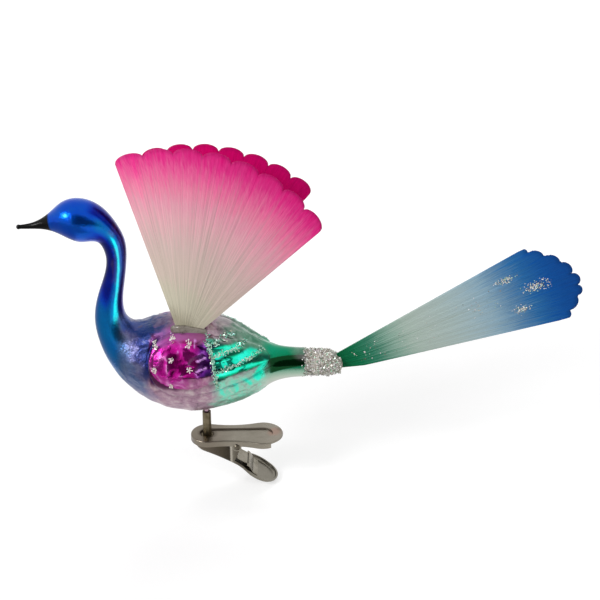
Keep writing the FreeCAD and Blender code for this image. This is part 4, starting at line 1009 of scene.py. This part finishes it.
def glitter_on_tail():
    """Patches of flakes near the tail's edge and loose ones near its root, on both faces."""
    spots = []
    for centre, length, width, count in TAIL_PATCHES:
        along = normed(centre - TAIL_HUB)
        spots.append(centre + rng.normal(0, length * 0.5, (count, 1)) * along
                     + rng.normal(0, width * 0.5, (count, 1)) * left(along))
    angle = np.radians(mix(18.5, 29, rng.random(ROOT_FLAKES)))
    reach = mix(24, 52, rng.random((ROOT_FLAKES, 1)) ** 1.6)
    spots.append(TAIL_HUB + reach * unit(angle))
    flat = np.concatenate(spots)
    for side, label in ((-1, "left"), (1, "right")):
        flakes(f"tail_glitter_{label}", upright(flat, side * 0.33), np.array([0, side, 0]), 0.15, 0.3)


# -------- clip
PIN = np.array([12.7, -1.8])
SPRING_BEND, SPRING_SHEET, SPRING_HALF, YOKE_HALF = 0.8, 0.3, 3.2, 4.3
SPRING_REACH_X, SPRING_KNEE_Z, SPRING_LEAN = 21.5, -7.2, math.radians(188)
YOKE_FOLD, YOKE_TOE, YOKE_HEEL = np.array([16.4, -9.6]), np.array([17.5, -11.95]), np.array([18.9, -13.1])
BEVEL = 0.07


def strip_piece(path, half_width, name):
    """A bent strip of sheet with bevelled long edges: path points lie on its inner side."""
    out = left(normed(np.gradient(np.array(path), axis=0)))
    side = [(-half_width + BEVEL, 0), (-half_width, BEVEL), (-half_width, SPRING_SHEET - BEVEL),
            (-half_width + BEVEL, SPRING_SHEET)]
    outline = np.array(side + [(-across, up) for across, up in side[::-1]])
    flat = np.array(path)[:, None] + out[:, None] * outline[:, 1:]
    faces = tube_faces(len(path), 8) + [ring_face(0, 8, -1), ring_face(8 * (len(path) - 1), 8)]
    piece = make_object(name, upright(flat, outline[:, 0]).reshape(-1, 3), faces, SPRING,
                        body=None, is_smooth=False)
    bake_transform(piece)
    return piece


def rounded_run(corners, radius, steps=6):
    """A path through corners, each cut by a small arc."""
    path = [corners[0]]
    for before, corner, after in zip(corners, corners[1:], corners[2:]):
        start, end = (corner + radius * normed(point - corner) for point in (before, after))
        path += [mix(mix(start, corner, share), mix(corner, end, share), share)
                 for share in np.linspace(0, 1, steps)]
    return path + [corners[-1]]


def spring():
    """The spring: a strip bent round the pin, whose yoke stands on the thumb pad."""
    arc = PIN + SPRING_BEND * unit(np.linspace(math.pi / 2, SPRING_LEAN, 24))
    down = left(unit(SPRING_LEAN))
    knee = arc[-1] + down * (SPRING_KNEE_Z - arc[-1][1]) / down[1]
    upper = [np.array([x, PIN[1] + SPRING_BEND]) for x in (SPRING_REACH_X, 18, 15)]
    lower = rounded_run([arc[-1], knee, YOKE_FOLD], 0.5)[1:]
    strip = strip_piece(upper + list(arc) + lower, SPRING_HALF, "spring_strip")
    shoulder = YOKE_FOLD + 0.8 * normed(knee - YOKE_FOLD)
    strip_piece(rounded_run([shoulder, YOKE_FOLD, YOKE_TOE, YOKE_HEEL], 0.35), YOKE_HALF, "spring_yoke")
    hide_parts("clip_spring")


def dress_clip():
    """Gives the clip's and the stem's CAD pieces their metal."""
    for node, material in (("clip_top_plate", NICKEL), ("clip_lower_lever", LEVER), ("pivot_pin", LEVER),
                           ("stem_tube", STEM), ("stem_cement", CEMENT)):
        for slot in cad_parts[node].material_slots:
            slot.material = material


# -------- studio
WHITE = (1, 1, 1, 1)
FLOOR_Z = CAD_BOX[0][2] - 0.0002
CARD_Z = FLOOR_Z + 0.002


def plain_material(name, tone, near, far):
    """A plain grey. Its glow, near and far from the middle, is seen by camera, reflections and glass."""
    look = Look(name, Base_Color=(tone, tone, tone, 1), Emission_Color=WHITE, Roughness=0.9,
                Specular_IOR_Level=0.1)
    glow = look.band(look.vector("LENGTH", look.where["Object"]), 0.1, 0.9, near, far)
    look.set("Emission Strength", look.seen(0, glow))
    return look.material


def stage_card(name, material, corners, reflected_only=True):
    """A flat card or the floor, from corners in metres. A reflected card is seen only in glossy surfaces."""
    mesh = bpy.data.meshes.new(name)
    mesh.from_pydata(corners, [], [ring_face(0, len(corners))])
    mesh.materials.append(material)
    card = add_object(name, mesh)
    if reflected_only:
        card.visible_camera = card.visible_diffuse = card.visible_shadow = False
        card.visible_transmission = card.visible_volume_scatter = False


def lamp(name, place, width, height, power, in_gloss=True):
    """A rectangular lamp, aimed at the bird, which the camera doesn't see."""
    data = bpy.data.lights.new(name, "AREA")
    data.shape = "RECTANGLE"
    data.size, data.size_y = width, height
    data.energy = power
    light = add_object(name, data)
    light.location = place
    light.rotation_euler = (Vector((0.02, 0, 0.04)) - Vector(place)).to_track_quat("-Z", "Y").to_euler()
    light.visible_camera = False
    light.visible_glossy = in_gloss


def studio():
    """The white room, its floor, the cards and the lamps."""
    world = bpy.data.worlds.new("studio")
    bpy.context.scene.world = world
    room = Look("studio", world, Color=WHITE)
    room.set("Strength", room.seen(0.34, 1))
    low = FLOOR_Z
    stage_card("floor", plain_material("floor", 0.5, 0.55, 0.92),
               [(-3, -3, low), (3, -3, low), (3, 3, low), (-3, 3, low)], False)
    # Cards stand before and beside the bird, so that the lacquer and the steel have something to mirror.
    stage_card("card_front", plain_material("dark_card", 0.02, 0.11, 0.11),
               [(-0.33, -0.7, 0.03), (0.85, -0.6, -0.01), (0.62, -0.6, 0.35), (0.1, -0.7, 0.92),
                (-0.3, -0.7, 0.86)])
    low = CARD_Z
    grey = plain_material("grey_card", 0.1, 0.42, 0.42)
    stage_card("card_left", grey, [(-0.8, -0.75, low), (0.012, -0.75, low), (0.012, -0.085, low),
                                   (-0.06, -0.085, low), (-0.06, 0.3, low), (-0.8, 0.3, low)])
    stage_card("card_right", grey, [(0.1, -0.06, low), (0.45, -0.06, low), (0.45, 0.12, low),
                                    (0.1, 0.12, low)])
    lamp("key", (-0.71, -0.46, 0.57), 0.3, 0.3, 6.3)
    lamp("fill", (0.55, -0.6, 0.45), 0.4, 0.5, 3, False)
    lamp("back", (0.1, 0.6, 0.6), 0.6, 0.3, 2.6, False)


def camera():
    """The camera looks at the bird's middle, from its side and 28 degrees above."""
    data = bpy.data.cameras.new("camera")
    data.lens = 102.3
    data.clip_start = 0.01
    eye = add_object("camera", data)
    tilt = math.radians(28)
    back = Vector((0, -math.cos(tilt), math.sin(tilt)))
    eye.location = Vector((32.694, 0, 48.318)) * MM + back * 0.520
    eye.rotation_euler = (-back).to_track_quat("-Z", "Y").to_euler()
    bpy.context.scene.camera = eye


# -------- the scene
bpy.context.scene.view_settings.view_transform = "Standard"
camera()
studio()
glass_points, glass_normals = blown_bird()
glass_pike()
wings_and_tail()
wing_glue()
glitter_on_glass(glass_points, glass_normals)
glitter_collar()
glitter_on_tail()
spring()
dress_clip()
